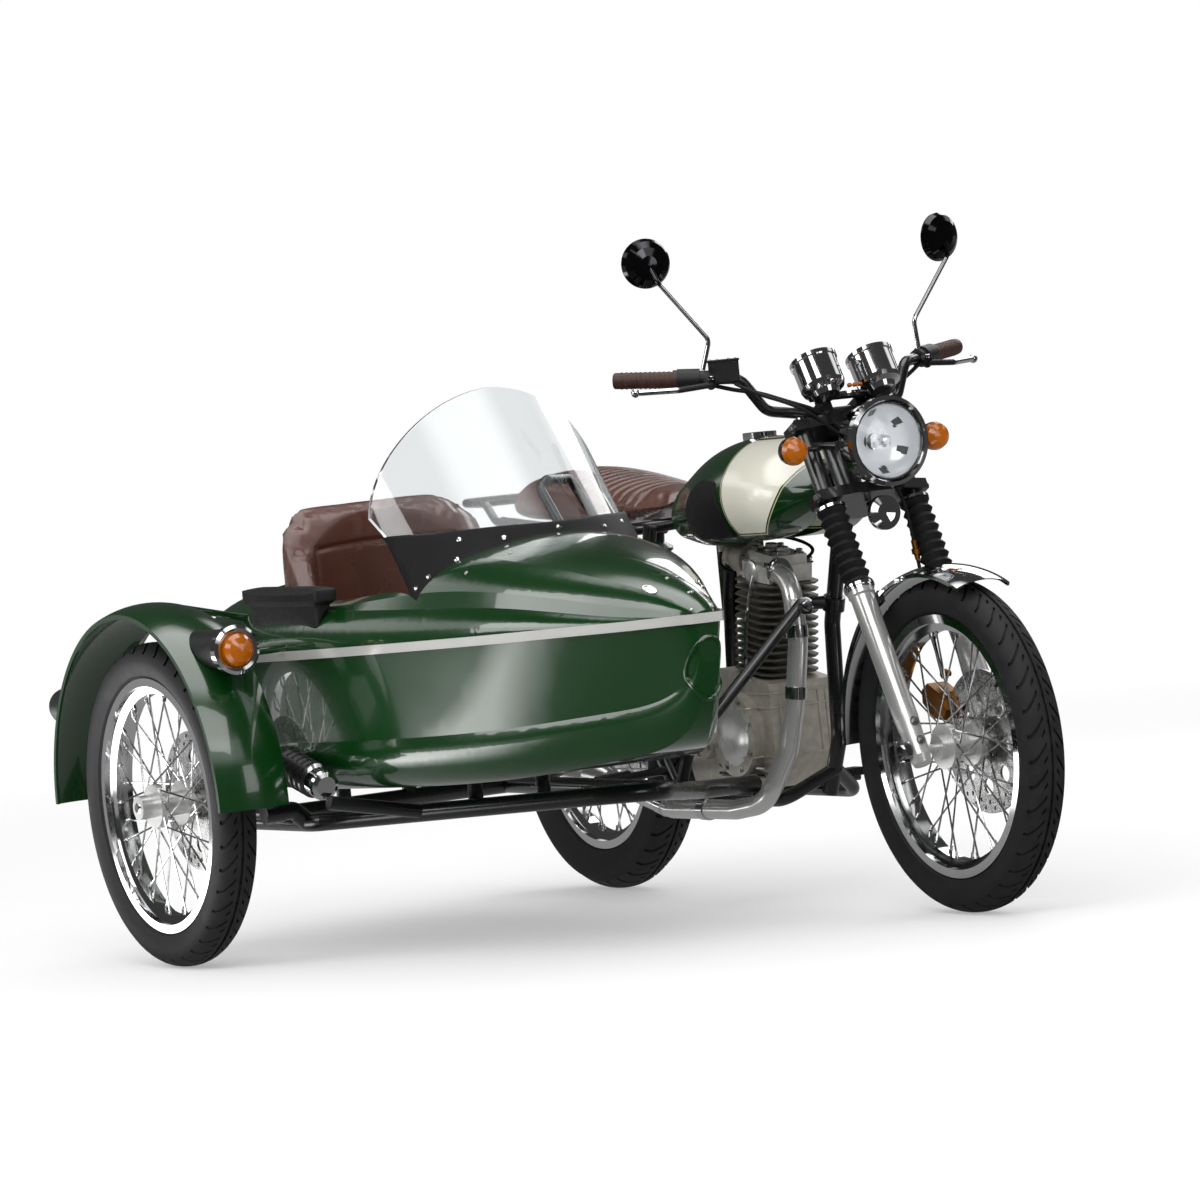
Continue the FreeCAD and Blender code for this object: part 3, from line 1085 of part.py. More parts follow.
def build_sidecar_chassis():
    """Tubular chassis, its links to the motorcycle, arm, spring unit, mudguard and lamps."""
    wheel, axle_y, axle_z = -size.track, size.side_axle_y, size.front_tyre_r
    outer_x, inner_x, pivot_y = wheel + size.outer_inset, wheel + size.inner_inset, axle_y - size.pivot_lead
    rear_y, cradle = axle_y + 110, size.cradle_x
    r = size.side_tube_r
    outer = tube([(outer_x, rear_y + 15, 265), (outer_x, pivot_y - 20, 268), (85 - SIDE, 230, 296),
                  (-300, 500, 262), (-cradle - 28, 604, 250)], r, 90)
    inner = tube([(inner_x, 480, 268), (inner_x, rear_y + 15, 265)], r)
    rear = tube([(outer_x, rear_y, 265), (inner_x, rear_y, 265)], r)
    link = tube([(inner_x, 1150, 265), (-110, 1045, 356)], r)
    middle = tube([(-SIDE - 155, 640, 279), (inner_x, 640, 268)], 14)
    lug = tube([(-10, 424, 603), (-60, 442, 605)], 13)
    strut = tube([(-58, 442, 607), (-322, 478, 352), (inner_x + 2, 488, 280)], 12, 20)
    high = tube([(inner_x, 1160, 265), (inner_x + 60, 1160, 272), (-120, 1010, 506)], 12, 40)
    boss = tube([(outer_x, pivot_y, 268), (wheel + 170, pivot_y, 296), (wheel + 146, pivot_y, 296)], 18, 20)
    bracket = tube([(wheel + 330, pivot_y - 240, 280), (wheel + 130, pivot_y - 240, 321)], 14)
    rings = [clamp((0, 418.2, 600), (0, -0.346, 1), size.frame_tube_r),
             clamp((-92.1, 1007.9, 362), (-0.033, -0.033, 1), size.cradle_r),
             clamp((-cradle, 622, size.cradle_z), (0, 1, 0), size.cradle_r),
             clamp((-97.3, 1002.7, 520), (-0.033, -0.033, 1), size.cradle_r)]
    drop = tube([(-cradle - 28, 604, 249), (-cradle - 13, 620, 224)], 11)
    reach = tube([(-110, 1045, 356), (-98, 1022, 362)], 14)
    hanger = tube([(-122, 1012, 503), (-108, 1006, 518)], 10)
    shell = Part.makeLoft(hull_sections(-size.seat_gap), True, False)
    posts = [Part.makeCylinder(15, 90, Vector(-SIDE + side, y, 265)).cut(shell)
             for side in (75, -75) for y in (640, rear_y)]
    frame = union([outer, inner, rear, link, middle, strut, lug, high, boss, bracket, drop, reach, hanger]
                  + posts + [ring for ring, _ in rings])
    for _, bore in rings:
        frame = frame.cut(bore)
    solid_node("sidecar_chassis", frame)

    arm = union([
        tube([(wheel + 124, pivot_y, 296), (wheel + 100, pivot_y + 100, 300), (wheel + 88, axle_y, axle_z)],
             15, 60),
        tube([(wheel + 94, axle_y, axle_z), (wheel - size.hub_half - 22, axle_y, axle_z)], size.axle_r),
        tube([(wheel + 146 - size.seat_gap, pivot_y, 296), (wheel + 104, pivot_y, 296)], 20),
        tube([(wheel + 124, pivot_y + 20, 298), (wheel + 130, pivot_y - 32, 376)], 11),
    ])
    solid_node("sidecar_arm", arm)
    front, back = Vector(wheel + 130, pivot_y - 236, 352), Vector(wheel + 130, pivot_y - 36, 402)
    run = back - front
    coil = [(0, 0), (20, 0), (28, 5), (30, 12), (30, 36), (27, 40)]
    for i in range(6):
        coil += [(35, 46 + i * 21), (35, 54 + i * 21), (27, 58 + i * 21), (27, 62 + i * 21)]
    coil += [(16, 176), (16, run.Length), (0, run.Length)]
    solid_node("sidecar_spring_unit", turned(coil, front, run))

    guard = arch_body("mudguard_sheet", "Size.guard_r", "Size.guard_out", "Size.guard_in", 180,
                      "Size.guard_t", "Size.guard_crown", "Size.guard_lip")
    guard.Placement = Placement(Vector(wheel, axle_y, axle_z), Rotation())
    deck = Part.makeLoft(deck_sections(-size.seat_gap), True, False)
    trim = Part.makeLoft(waist_sections(-7 - size.seat_gap, 9 + size.seat_gap), True, False)
    stays = []
    for angle, drop in ((50, 0), (90, 60), (130, 0)):
        a = math.radians(angle)
        spot = Vector(wheel + size.guard_in - 2, axle_y + size.guard_r * math.cos(a),
                      axle_z + size.guard_r * math.sin(a))
        stays.append(tube([spot, (-SIDE - 200, spot.y, spot.z - drop)], 7).cut([shell, deck, trim]))
    braces = doc.addObject("Part::Feature", "mudguard_stays")
    braces.Shape = Part.makeCompound(stays)
    place(node(fuse("sidecar_mudguard", guard, braces), "sidecar_mudguard"))
    crown = Part.makeCylinder(size.guard_r + size.guard_t + size.guard_crown + size.seat_gap, 300,
                              Vector(wheel - 150, axle_y, axle_z), X_AXIS)
    front_lamp = turned([(0, 0), (38, 0), (40, 110), (43, 148), (48.5, 150), (48.5, 168), (42, 173),
                         (36, 171), (33, 168), (31, 178), (24, 187), (12, 192), (0, 193)],
                        (wheel, 900, 633), (0, -1, 0))
    rear_lamp = turned([(0, 0), (34, 0), (36, 60), (34, 66), (22, 73), (0, 76)],
                       (wheel - 32, 1432, 520), Y_AXIS)
    solid_node("sidecar_lamps", Part.makeCompound([front_lamp.cut(crown), rear_lamp.cut(crown)]))


def shift_to_footprint():
    """Put the origin at the middle of the whole outline, on the ground."""
    whole = FreeCAD.BoundBox()
    for item in nodes:
        whole.add(item.Shape.optimalBoundingBox(False, False))
    print("overall", [round(v, 1) for v in (whole.XLength, whole.YLength, whole.ZLength)], "from", whole)
    sheet.set("B1", str(round(-whole.Center.x, 3)))
    sheet.set("B2", str(round(-whole.Center.y, 3)))
    doc.recompute()


def write_parts():
    """Check every object, then write each sub-part to its own file."""
    for item in doc.Objects:
        if "Invalid" in item.State or "Error" in item.State:
            raise RuntimeError(f"{item.Label} did not compute: {item.State}")
    os.makedirs("parts", exist_ok=True)
    for item in nodes:
        shape = item.Shape
        if shape.isNull() or not shape.isValid() or not shape.Solids:
            raise RuntimeError(f"{item.Label} has no valid solid")
    for item in nodes:
        item.Shape.exportStep(f"parts/{item.Label}.step")
    print(len(nodes), "sub-parts written")


build_wheels()
build_fork()
build_controls()
build_front_lights()
build_front_fender()
build_frame()
build_engine()
build_exhaust()
build_rear()
build_tank_and_seat()
build_sidecar_body()
build_sidecar_seats()
build_sidecar_chassis()
doc.recompute()
shift_to_footprint()
write_parts()
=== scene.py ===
"""Looks of a classic motorcycle with a sidecar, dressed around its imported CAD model.

Lengths are in metres in the CAD frame.  Places on the machine are given in the
bike frame, in millimetres: x from the motorcycle's centre plane with +x to the
rider's left, y behind the front axle, z above the ground.
"""

import logging
import math
from contextlib import contextmanager
from dataclasses import dataclass
from enum import Enum
from functools import cached_property
from typing import Callable, Iterable, Iterator, Sequence

import bmesh
import bpy
from bpy.types import Material, Node, NodeSocket, NodeTree, Object, ShaderNodeTree
from mathutils import Matrix, Quaternion, Vector


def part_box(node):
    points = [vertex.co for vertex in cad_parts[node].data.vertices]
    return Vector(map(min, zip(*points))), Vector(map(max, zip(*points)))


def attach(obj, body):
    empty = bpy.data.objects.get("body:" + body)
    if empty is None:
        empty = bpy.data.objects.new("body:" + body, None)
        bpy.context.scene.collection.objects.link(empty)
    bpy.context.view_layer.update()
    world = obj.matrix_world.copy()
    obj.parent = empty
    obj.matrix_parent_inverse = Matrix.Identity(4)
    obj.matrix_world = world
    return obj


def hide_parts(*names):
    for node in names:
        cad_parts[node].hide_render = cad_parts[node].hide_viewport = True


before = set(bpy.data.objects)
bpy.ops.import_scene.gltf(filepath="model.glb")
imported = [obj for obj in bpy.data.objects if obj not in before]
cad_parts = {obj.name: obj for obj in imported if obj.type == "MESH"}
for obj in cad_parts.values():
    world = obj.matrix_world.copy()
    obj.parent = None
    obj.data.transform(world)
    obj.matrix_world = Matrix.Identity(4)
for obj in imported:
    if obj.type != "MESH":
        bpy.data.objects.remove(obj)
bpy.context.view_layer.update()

log = logging.getLogger("outfit")
Point = Sequence[float]
MM = 0.001


def middle(node: str) -> Vector:
    """Middle of a CAD node's box, in metres."""
    return sum(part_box(node), Vector()) / 2


AXLE = middle("front_tyre")
ORIGIN = Vector((AXLE.x, AXLE.y, 0))
RAKE = math.radians(27)
AXLE_Z = 324
SIDECAR_X = -645.0
X, Y, Z = Vector((1, 0, 0)), Vector((0, 1, 0)), Vector((0, 0, 1))


def at(x: float, y: float, z: float) -> Vector:
    """Point of the CAD frame, in metres, from the bike frame in millimetres."""
    return ORIGIN + Vector((x, y, z)) * MM


def on_fork(x: float, back: float, along: float) -> Vector:
    """Point of the CAD frame from the centre plane, behind the fork legs, and up them from the axle."""
    return at(x, back * math.cos(RAKE) + along * math.sin(RAKE),
              AXLE_Z - back * math.sin(RAKE) + along * math.cos(RAKE))


# --- finishes
BUMP_REACH = 0.001


class Grain(Enum):
    """Kinds of fine surface relief, each made by its own shader group."""

    CAST = "cast_grain"
    HIDE = "hide_grain"
    FILM = "handling_film"


def linear(colour: str) -> tuple[float, float, float, float]:
    """Linear RGBA of a colour written as six hexadecimal digits."""
    parts = [int(colour[i:i + 2], 16) / 255 for i in (0, 2, 4)]
    return tuple([p / 12.92 if p <= 0.04045 else ((p + 0.055) / 1.055) ** 2.4 for p in parts] + [1.0])


class Wiring:
    """Short calls that add and join nodes in one shader tree."""

    def __init__(self, tree: NodeTree) -> None:
        """Keep the tree that nodes are added to."""
        self.tree = tree

    def feed(self, sockets: Iterable, values: Iterable) -> None:
        """Link each input to its value where that is a socket, or else set it; None leaves it alone."""
        for socket, value in zip(sockets, values):
            if isinstance(value, NodeSocket):
                self.tree.links.new(value, socket)
            elif value is not None:
                socket.default_value = value

    def add(self, kind: str, values: dict | None = None, **settings) -> Node:
        """Add a node.

        Args:
            kind: the node's type name without its ShaderNode prefix.
            values: input socket name or number to a constant or to the socket that feeds it.
            **settings: the node's own properties.
        """
        node = self.tree.nodes.new(f"ShaderNode{kind}")
        for name, value in settings.items():
            setattr(node, name, value)
        values = values or {}
        self.feed([node.inputs[name] for name in values], values.values())
        return node

    def math(self, operation: str, *values) -> NodeSocket:
        """Socket of a math node on sockets or numbers."""
        node = self.add("Math", operation=operation)
        self.feed(node.inputs, values)
        return node.outputs[0]

    def least(self, *values) -> NodeSocket:
        """Socket of the smallest of several sockets."""
        total = values[0]
        for value in values[1:]:
            total = self.math("MINIMUM", total, value)
        return total

    def ramp(self, value, low: float, high: float, bottom: float = 0.0, top: float = 1.0) -> NodeSocket:
        """Socket that goes from bottom to top as a value goes from low to high."""
        limits = {"From Min": low, "From Max": high, "To Min": bottom, "To Max": top}
        return self.add("MapRange", {"Value": value, **limits}).outputs[0]

    def blend(self, factor, first, second) -> NodeSocket:
        """Colour that goes from the first to the second, each a socket or an RGBA."""
        node = self.add("Mix", data_type="RGBA")
        self.feed((node.inputs[0], node.inputs[6], node.inputs[7]), (factor, first, second))
        return node.outputs[2]


class GrainGroups:
    """The shader groups that every finish draws its fine relief from."""

    def __init__(self) -> None:
        """Build each group once."""
        self.groups = {grain: self._group(grain) for grain in Grain}

    def _group(self, grain: Grain) -> ShaderNodeTree:
        """One group: a place and a scale in, a height and a shade out."""
        tree = bpy.data.node_groups.new(grain.value, "ShaderNodeTree")
        for name, kind, default in (("Vector", "NodeSocketVector", None),
                                    ("Scale", "NodeSocketFloat", 300.0)):
            socket = tree.interface.new_socket(name, in_out="INPUT", socket_type=kind)
            if default is not None:
                socket.default_value = default
        for name in ("Height", "Shade"):
            tree.interface.new_socket(name, in_out="OUTPUT", socket_type="NodeSocketFloat")
        wires = Wiring(tree)
        source = tree.nodes.new("NodeGroupInput").outputs
        height, shade = self._relief(wires, grain, source["Vector"], source["Scale"])
        sink = tree.nodes.new("NodeGroupOutput")
        tree.links.new(height, sink.inputs["Height"])
        tree.links.new(shade, sink.inputs["Shade"])
        return tree

    @staticmethod
    def _relief(wires: Wiring, grain: Grain, vector, scale) -> tuple:
        """Height and shade of a grain: fine lumps or creased cells, over a slow drift of tone."""
        def noise(share: float, detail: float) -> NodeSocket:
            """Noise factor at a share of the scale."""
            size = scale if share == 1 else wires.math("MULTIPLY", scale, share)
            return wires.add("TexNoise", {"Detail": detail, "Vector": vector, "Scale": size}).outputs["Fac"]

        if grain is not Grain.HIDE:
            fine, share, slow = {Grain.CAST: (4.0, 0.06, 2.0), Grain.FILM: (2.0, 0.15, 3.0)}[grain]
            return noise(1, fine), noise(share, slow)
        cells = wires.add("TexVoronoi", {"Vector": vector, "Scale": scale}, feature="DISTANCE_TO_EDGE")
        crease = wires.ramp(cells.outputs["Distance"], 0.0, 0.18)
        lumps = wires.math("MULTIPLY", noise(0.25, 3.0), 0.6)
        return wires.math("ADD", crease, lumps), noise(0.012, 3.0)


@dataclass(frozen=True)
class Finish:
    """One surface finish."""

    name: str
    colour: str
    metal: float = 0.0
    rough: float = 0.5
    coat: float = 0.0
    grain: Grain = Grain.FILM
    scale: float = 60.0
    relief: float = 0.02
    drift: float = 0.1
    rough_drift: float = 0.1
    specular: float = 0.5

    def colour_socket(self, wires: Wiring, place, shade) -> NodeSocket:
        """Socket of the base colour at a place, which drifts in tone with the shade."""
        base = linear(self.colour)
        dark = tuple(c * (1 - self.drift) for c in base[:3]) + (1,)
        light = tuple(min(1, c * (1 + self.drift)) for c in base[:3]) + (1,)
        return wires.blend(shade, dark, light)

    def material(self) -> Material:
        """The finish's material, made once."""
        title = f"{self.name}_finish"
        known = bpy.data.materials.get(title)
        if known:
            return known
        made = bpy.data.materials.new(title)
        made.use_nodes = True
        wires = Wiring(made.node_tree)
        shader = made.node_tree.nodes["Principled BSDF"]
        place = wires.add("TexCoord").outputs["Object"]
        group = wires.add("Group", node_tree=GRAINS.groups[self.grain])
        wires.feed((group.inputs["Vector"], group.inputs["Scale"]), (place, self.scale))
        shade = wires.ramp(group.outputs["Shade"], 0.3, 0.7)
        colour = self.colour_socket(wires, place, shade)
        rough = wires.math("ADD", self.rough - self.rough_drift / 2,
                           wires.math("MULTIPLY", shade, self.rough_drift))
        bump = wires.add("Bump", {"Strength": self.relief, "Distance": BUMP_REACH,
                                  "Height": group.outputs["Height"]})
        values = {"Base Color": colour, "Roughness": rough, "Normal": bump.outputs[0], **self.constants()}
        wires.feed([shader.inputs[name] for name in values], values.values())
        return made

    def constants(self) -> dict:
        """Values set straight on the shader's sockets."""
        return {"Metallic": self.metal, "Coat Weight": self.coat, "Coat Roughness": 0.03,
                "Specular IOR Level": self.specular}


@dataclass(frozen=True)
class ClearFinish(Finish):
    """A see-through finish: screen, lens or tinted lamp glass."""

    through: float = 1.0
    ior: float = 1.49

    def constants(self) -> dict:
        """Values set straight on the shader's sockets."""
        return super().constants() | {"Transmission Weight": self.through, "IOR": self.ior}


@dataclass(frozen=True)
class TankFinish(Finish):
    """Two-tone tank paint: a pale side panel with a pinstripe on the body colour."""

    panel: str = "E8E6D6"
    line: str = "C9C19A"
    front: float = 410.0
    rear: float = 566.0
    foot: float = 752.0
    waist: float = 845.0
    top: float = 931.0
    bow: float = 0.0062
    front_lean: float = -0.10
    rear_lean: float = 0.25
    edges: tuple = (-5.2, -3.2, -0.3)
    blur: float = 0.6

    def colour_socket(self, wires: Wiring, place, shade) -> NodeSocket:
        """Body colour, the pinstripe, and the panel inside it, from the place along the side."""
        body = super().colour_socket(wires, place, shade)
        split = wires.add("SeparateXYZ", {0: place})
        y = wires.math("DIVIDE", wires.math("SUBTRACT", split.outputs[1], ORIGIN.y), MM)
        z = wires.math("DIVIDE", split.outputs[2], MM)
        lift = wires.math("SUBTRACT", z, self.waist)
        # the front edge bows and leans back; the rear edge is straight
        bow = wires.math("MULTIPLY", wires.math("MULTIPLY", lift, lift), self.bow)
        front = wires.math("ADD", wires.math("ADD", self.front, bow),
                           wires.math("MULTIPLY", lift, self.front_lean))
        rear = wires.math("ADD", self.rear, wires.math("MULTIPLY", lift, self.rear_lean))
        inside = wires.least(*(wires.math("SUBTRACT", *pair) for pair in (
            (y, front), (rear, y), (z, self.foot), (self.top, z))))
        line, gap, fill = (wires.ramp(inside, low, low + self.blur) for low in self.edges)
        striped = wires.blend(gap, wires.blend(line, body, linear(self.line)), body)
        return wires.blend(fill, striped, linear(self.panel))


GRAINS = GrainGroups()
PAINT = Finish("green_lacquer", "05300C", rough=0.22, coat=1.0, drift=0.06, relief=0.004, scale=25)
TANK_PAINT = TankFinish("tank_lacquer", "05300C", rough=0.22, coat=1.0, drift=0.06, relief=0.004, scale=25)
CHROME = Finish("chrome", "D8D8DA", metal=1.0, rough=0.07, rough_drift=0.05, drift=0.04, relief=0.01)
POLISHED = Finish("polished_alloy", "CECECC", metal=0.65, rough=0.24, rough_drift=0.14, drift=0.06,
                  relief=0.02)
CAST = Finish("cast_alloy", "A8A399", metal=0.4, rough=0.42, grain=Grain.CAST, scale=900, relief=0.25,
              drift=0.14)
# cylinder barrel: the head's cast alloy painted darker, a painted shade between the fins
SHADED_FIN_ALLOY = Finish("fin_alloy_painted_shade", "5A5750", metal=0.5, rough=0.48, grain=Grain.CAST, scale=900, relief=0.3,
                   drift=0.2)
PIPE = Finish("plated_pipe", "D8D8D6", metal=0.75, rough=0.22, rough_drift=0.08, drift=0.05, relief=0.01)
HEAD_ALLOY = Finish("head_alloy", "CFCCC6", metal=0.5, rough=0.34, grain=Grain.CAST, scale=700, relief=0.15,
                    drift=0.12)
STEEL = Finish("zinc_steel", "A8A8A6", metal=1.0, rough=0.3, rough_drift=0.2, grain=Grain.CAST, scale=700,
               relief=0.1)
SPOKE = Finish("spoke_steel", "D5D5D5", metal=1.0, rough=0.16, relief=0.01)
DISC = Finish("ground_steel", "B9B9B8", metal=1.0, rough=0.26, rough_drift=0.1, grain=Grain.CAST,
              scale=1200, relief=0.06)
BLACK = Finish("black_enamel", "0B0B0C", rough=0.3, coat=0.6, drift=0.2, relief=0.03, grain=Grain.CAST,
               scale=500)
MOULDING = Finish("black_moulding", "101011", rough=0.5, drift=0.15, grain=Grain.CAST, scale=1300,
                  relief=0.25)
RUBBER = Finish("black_rubber", "121213", rough=0.62, drift=0.2, specular=0.3, grain=Grain.CAST, scale=800,
                relief=0.2)
TYRE_RUBBER = Finish("tyre_rubber", "1D1D1F", rough=0.66, drift=0.22, specular=0.3, grain=Grain.CAST,
                     scale=600, relief=0.25)
GRIP_RUBBER = Finish("brown_rubber", "3D2119", rough=0.5, drift=0.2, grain=Grain.CAST, scale=900,
                     relief=0.2)
BROWN_HIDE = Finish("brown_leather", "583125", rough=0.3, rough_drift=0.16, grain=Grain.HIDE, scale=700,
                    relief=0.35, drift=0.2, coat=0.6)
BLACK_HIDE = Finish("black_leather", "050506", rough=0.45, rough_drift=0.15, grain=Grain.HIDE, scale=650,
                    relief=0.4, drift=0.25, specular=0.2)
GOLD = Finish("gold_anodised", "8A5A1E", metal=0.9, rough=0.34, grain=Grain.CAST, scale=900, relief=0.2)
CLEAR = ClearFinish("clear_screen", "E9ECED", rough=0.02, rough_drift=0.01, relief=0.0, drift=0.01)
LENS = ClearFinish("lamp_glass", "FBFCFD", rough=0.03, rough_drift=0.02, relief=0.01, drift=0.01, ior=1.5)
AMBER = ClearFinish("amber_lens", "A85800", rough=0.16, rough_drift=0.06, relief=0.05, drift=0.1,
                    through=0.1,
                    coat=0.6)
RED = ClearFinish("red_lens", "8C0806", rough=0.16, rough_drift=0.06, relief=0.05, drift=0.1, through=0.3,
                  coat=0.6)
# mirror heads: chrome darkened in colour, a painted dark reflection of the room
CHROME_PAINTED_DARK = Finish("chrome_painted_dark_reflection", "3C3C3F", metal=1.0, rough=0.08, rough_drift=0.04, drift=0.04, relief=0.01)
TRIM = Finish("bright_trim", "DEDEDA", metal=0.55, rough=0.16, rough_drift=0.06, drift=0.05, relief=0.01)
MIRROR = Finish("mirror_glass", "E8ECEE", metal=1.0, rough=0.02, rough_drift=0.01, relief=0.0, drift=0.01)
DIAL = Finish("dial_face", "121214", rough=0.4, relief=0.02)
DIAL_MARK = Finish("dial_mark", "E9E7DE", rough=0.5, relief=0.02)
RECESS = Finish("pale_reflector", "F0F2F4", metal=0.35, rough=0.2, relief=0.03, drift=0.05)


Test = Callable[[Vector, Vector], bool]


def dress(node: str, finish: Finish, *parts: tuple[Finish, Test]) -> None:
    """Give a CAD node its finishes.

    Args:
        node: the node's name.
        finish: what the node is made of.
        *parts: other finishes, each with a test of a face's middle, in the bike
            frame in millimetres, and its normal.
    """
    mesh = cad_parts[node].data
    mesh.materials.clear()
    mesh.materials.append(finish.material())
    for index, (other, test) in enumerate(parts, start=1):
        mesh.materials.append(other.material())
        for face in mesh.polygons:
            if test((face.center - ORIGIN) / MM, face.normal):
                face.material_index = index
    log.info("dressed %s", node)


# --- the bench
class Bench:
    """Modelling calls shared by every sub-assembly."""

    @staticmethod
    def clear() -> None:
        """Leave nothing selected."""
        if bpy.context.object and bpy.context.object.mode != "OBJECT":
            bpy.ops.object.mode_set(mode="OBJECT")
        bpy.ops.object.select_all(action="DESELECT")

    @staticmethod
    def choose(*objects: Object) -> None:
        """Select these objects only, with the first one active."""
        Bench.clear()
        for obj in objects:
            obj.select_set(True)
        bpy.context.view_layer.objects.active = objects[0]

    @staticmethod
    @contextmanager
    def editing(obj: Object) -> Iterator[None]:
        """Edit mode on one object, with all of its mesh selected."""
        Bench.choose(obj)
        bpy.ops.object.mode_set(mode="EDIT")
        Bench.whole()
        try:
            yield
        finally:
            bpy.ops.object.mode_set(mode="OBJECT")

    @staticmethod
    def whole() -> None:
        """Select the whole mesh in edit mode."""
        bpy.ops.mesh.select_all(action="SELECT")

    @staticmethod
    def pick(obj: Object, test: Callable, kind: str = "faces") -> None:
        """Choose faces, edges or verts of an object in edit mode by a test of each."""
        mesh = bmesh.from_edit_mesh(obj.data)
        bpy.ops.mesh.select_mode(type={"faces": "FACE", "edges": "EDGE", "verts": "VERT"}[kind])
        bpy.ops.mesh.select_all(action="DESELECT")
        for item in getattr(mesh, kind):
            if test(item):
                item.select_set(True)
        mesh.select_flush_mode()
        bmesh.update_edit_mesh(obj.data)

    @staticmethod
    def settle(obj: Object, angle: float = 35) -> Object:
        """Bring the place into the mesh, and shade it smooth under an angle."""
        Bench.choose(obj)
        bpy.ops.object.transform_apply(location=True, rotation=True, scale=True)
        bpy.ops.object.shade_smooth_by_angle(angle=math.radians(angle))
        return obj

    @staticmethod
    def weld(obj: Object, reach: float, outward: bool = False) -> None:
        """Merge vertices within a reach in metres, and make the faces point outwards if asked."""
        with Bench.editing(obj):
            bpy.ops.mesh.remove_doubles(threshold=reach)
            if outward:
                bpy.ops.mesh.normals_make_consistent(inside=False)

    @staticmethod
    def apply(obj: Object, kind: str, **settings) -> None:
        """Add a modifier and apply it."""
        Bench.choose(obj)
        modifier = obj.modifiers.new(kind.lower(), kind)
        for name, value in settings.items():
            setattr(modifier, name, value)
        bpy.ops.object.modifier_apply(modifier=modifier.name)

    @staticmethod
    def join(objects: Sequence[Object]) -> Object:
        """One object of several meshes."""
        Bench.choose(*objects)
        if len(objects) > 1:
            bpy.ops.object.join()
        return bpy.context.object

    @staticmethod
    def cube(size: Point, place: Point = (0, 0, 0)) -> Object:
        """Block of a size at a place, both in metres."""
        Bench.clear()
        bpy.ops.mesh.primitive_cube_add(size=1, location=place)
        obj = bpy.context.object
        obj.scale = size
        bpy.ops.object.transform_apply(location=True, scale=True)
        return obj

    @staticmethod
    def sweep(profile: Sequence[Point], steps: int, angle: float, axis: Point, closed: bool) -> Object:
        """Surface swept by a profile about an axis through the origin, its faces pointing outwards.

        Args:
            profile: (x, z) pairs in millimetres.
            steps: faces along the sweep.
            angle: how far the profile turns, in radians.
            axis: what it turns about.
            closed: whether the last point joins the first.
        """
        Bench.clear()
        bpy.ops.mesh.primitive_plane_add(size=0.001, location=(profile[0][0] * MM, 0, profile[0][1] * MM))
        obj = bpy.context.object
        bpy.ops.object.transform_apply(location=True)
        with Bench.editing(obj):
            bpy.ops.mesh.select_mode(type="VERT")
            Bench.whole()
            bpy.ops.mesh.merge(type="CENTER")
            Bench.whole()
            for before, after in zip(profile, profile[1:]):
                step = ((after[0] - before[0]) * MM, 0, (after[1] - before[1]) * MM)
                bpy.ops.mesh.extrude_region_move(TRANSFORM_OT_translate={"value": step})
            if closed:
                Bench.whole()
                bpy.ops.mesh.edge_face_add()
                bpy.ops.mesh.delete(type="ONLY_FACE")
            Bench.whole()
            bpy.ops.mesh.spin(steps=steps, angle=angle, center=(0, 0, 0), axis=axis)
            Bench.whole()
            bpy.ops.mesh.remove_doubles(threshold=1e-6)
            bpy.ops.mesh.normals_make_consistent(inside=False)
        return obj

    @staticmethod
    def lathe(profile: Sequence[Point], base: Vector, direction: Vector, steps: int = 48,
              closed: bool = False) -> Object:
        """Spin a profile about an axis.

        Args:
            profile: (radius, height) pairs in millimetres; a radius of 0 lies on the axis.
            base: where height 0 lies.
            direction: the way that height grows.
            steps: faces round the axis.
            closed: whether the last point joins the first.
        """
        obj = Bench.sweep(profile, steps, 2 * math.pi, (0, 0, 1), closed)
        obj.rotation_euler = direction.to_track_quat("Z", "Y").to_euler()
        obj.location = base
        return Bench.settle(obj)

    @staticmethod
    def run(points: Sequence[Vector], radius: float, sides: int = 10, order: int = 3) -> Object:
        """Round bar along a smooth path.

        Args:
            points: the path's control points, in metres.
            radius: in millimetres.
            sides: faces round the bar.
            order: the path's spline order.
        """
        Bench.clear()
        bpy.ops.curve.primitive_nurbs_path_add()
        obj = bpy.context.object
        curve = obj.data
        curve.splines.clear()
        spline = curve.splines.new("NURBS")
        spline.points.add(len(points) - 1)
        for target, point in zip(spline.points, points):
            target.co = (*point, 1)
        spline.order_u = min(order, len(points))
        spline.use_endpoint_u = True
        curve.bevel_depth, curve.bevel_resolution = radius * MM, max(1, sides // 4)
        curve.resolution_u, curve.use_fill_caps = 8, True
        obj.location = (0, 0, 0)
        Bench.choose(obj)
        bpy.ops.object.convert(target="MESH")
        return Bench.settle(bpy.context.object)

    @staticmethod
    def copies(model: Object, places: Sequence[Matrix]) -> Object:
        """A model made at the origin, repeated at places in metres as one mesh; the model is used up."""
        made = []
        for place in places:
            twin = model.copy()
            twin.data = model.data.copy()
            twin.data.transform(place)
            bpy.context.collection.objects.link(twin)
            made.append(twin)
        bpy.data.objects.remove(model)
        return Bench.join(made)


def strike(node: str, start: Vector, way: Vector) -> Vector | None:
    """Where a line first meets a CAD node, if it does."""
    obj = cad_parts[node]
    found, spot, _, _ = obj.ray_cast(obj.matrix_world.inverted() @ start, way)
    return obj.matrix_world @ spot if found else None


def stand(point: Vector, direction: Vector, spin: float = 0.0) -> Matrix:
    """Matrix that stands a model, made along +Z at the origin, at a point along a direction."""
    turn = Vector(direction).to_track_quat("Z", "Y") @ Quaternion(Z, spin)
    return Matrix.Translation(point) @ turn.to_matrix().to_4x4()


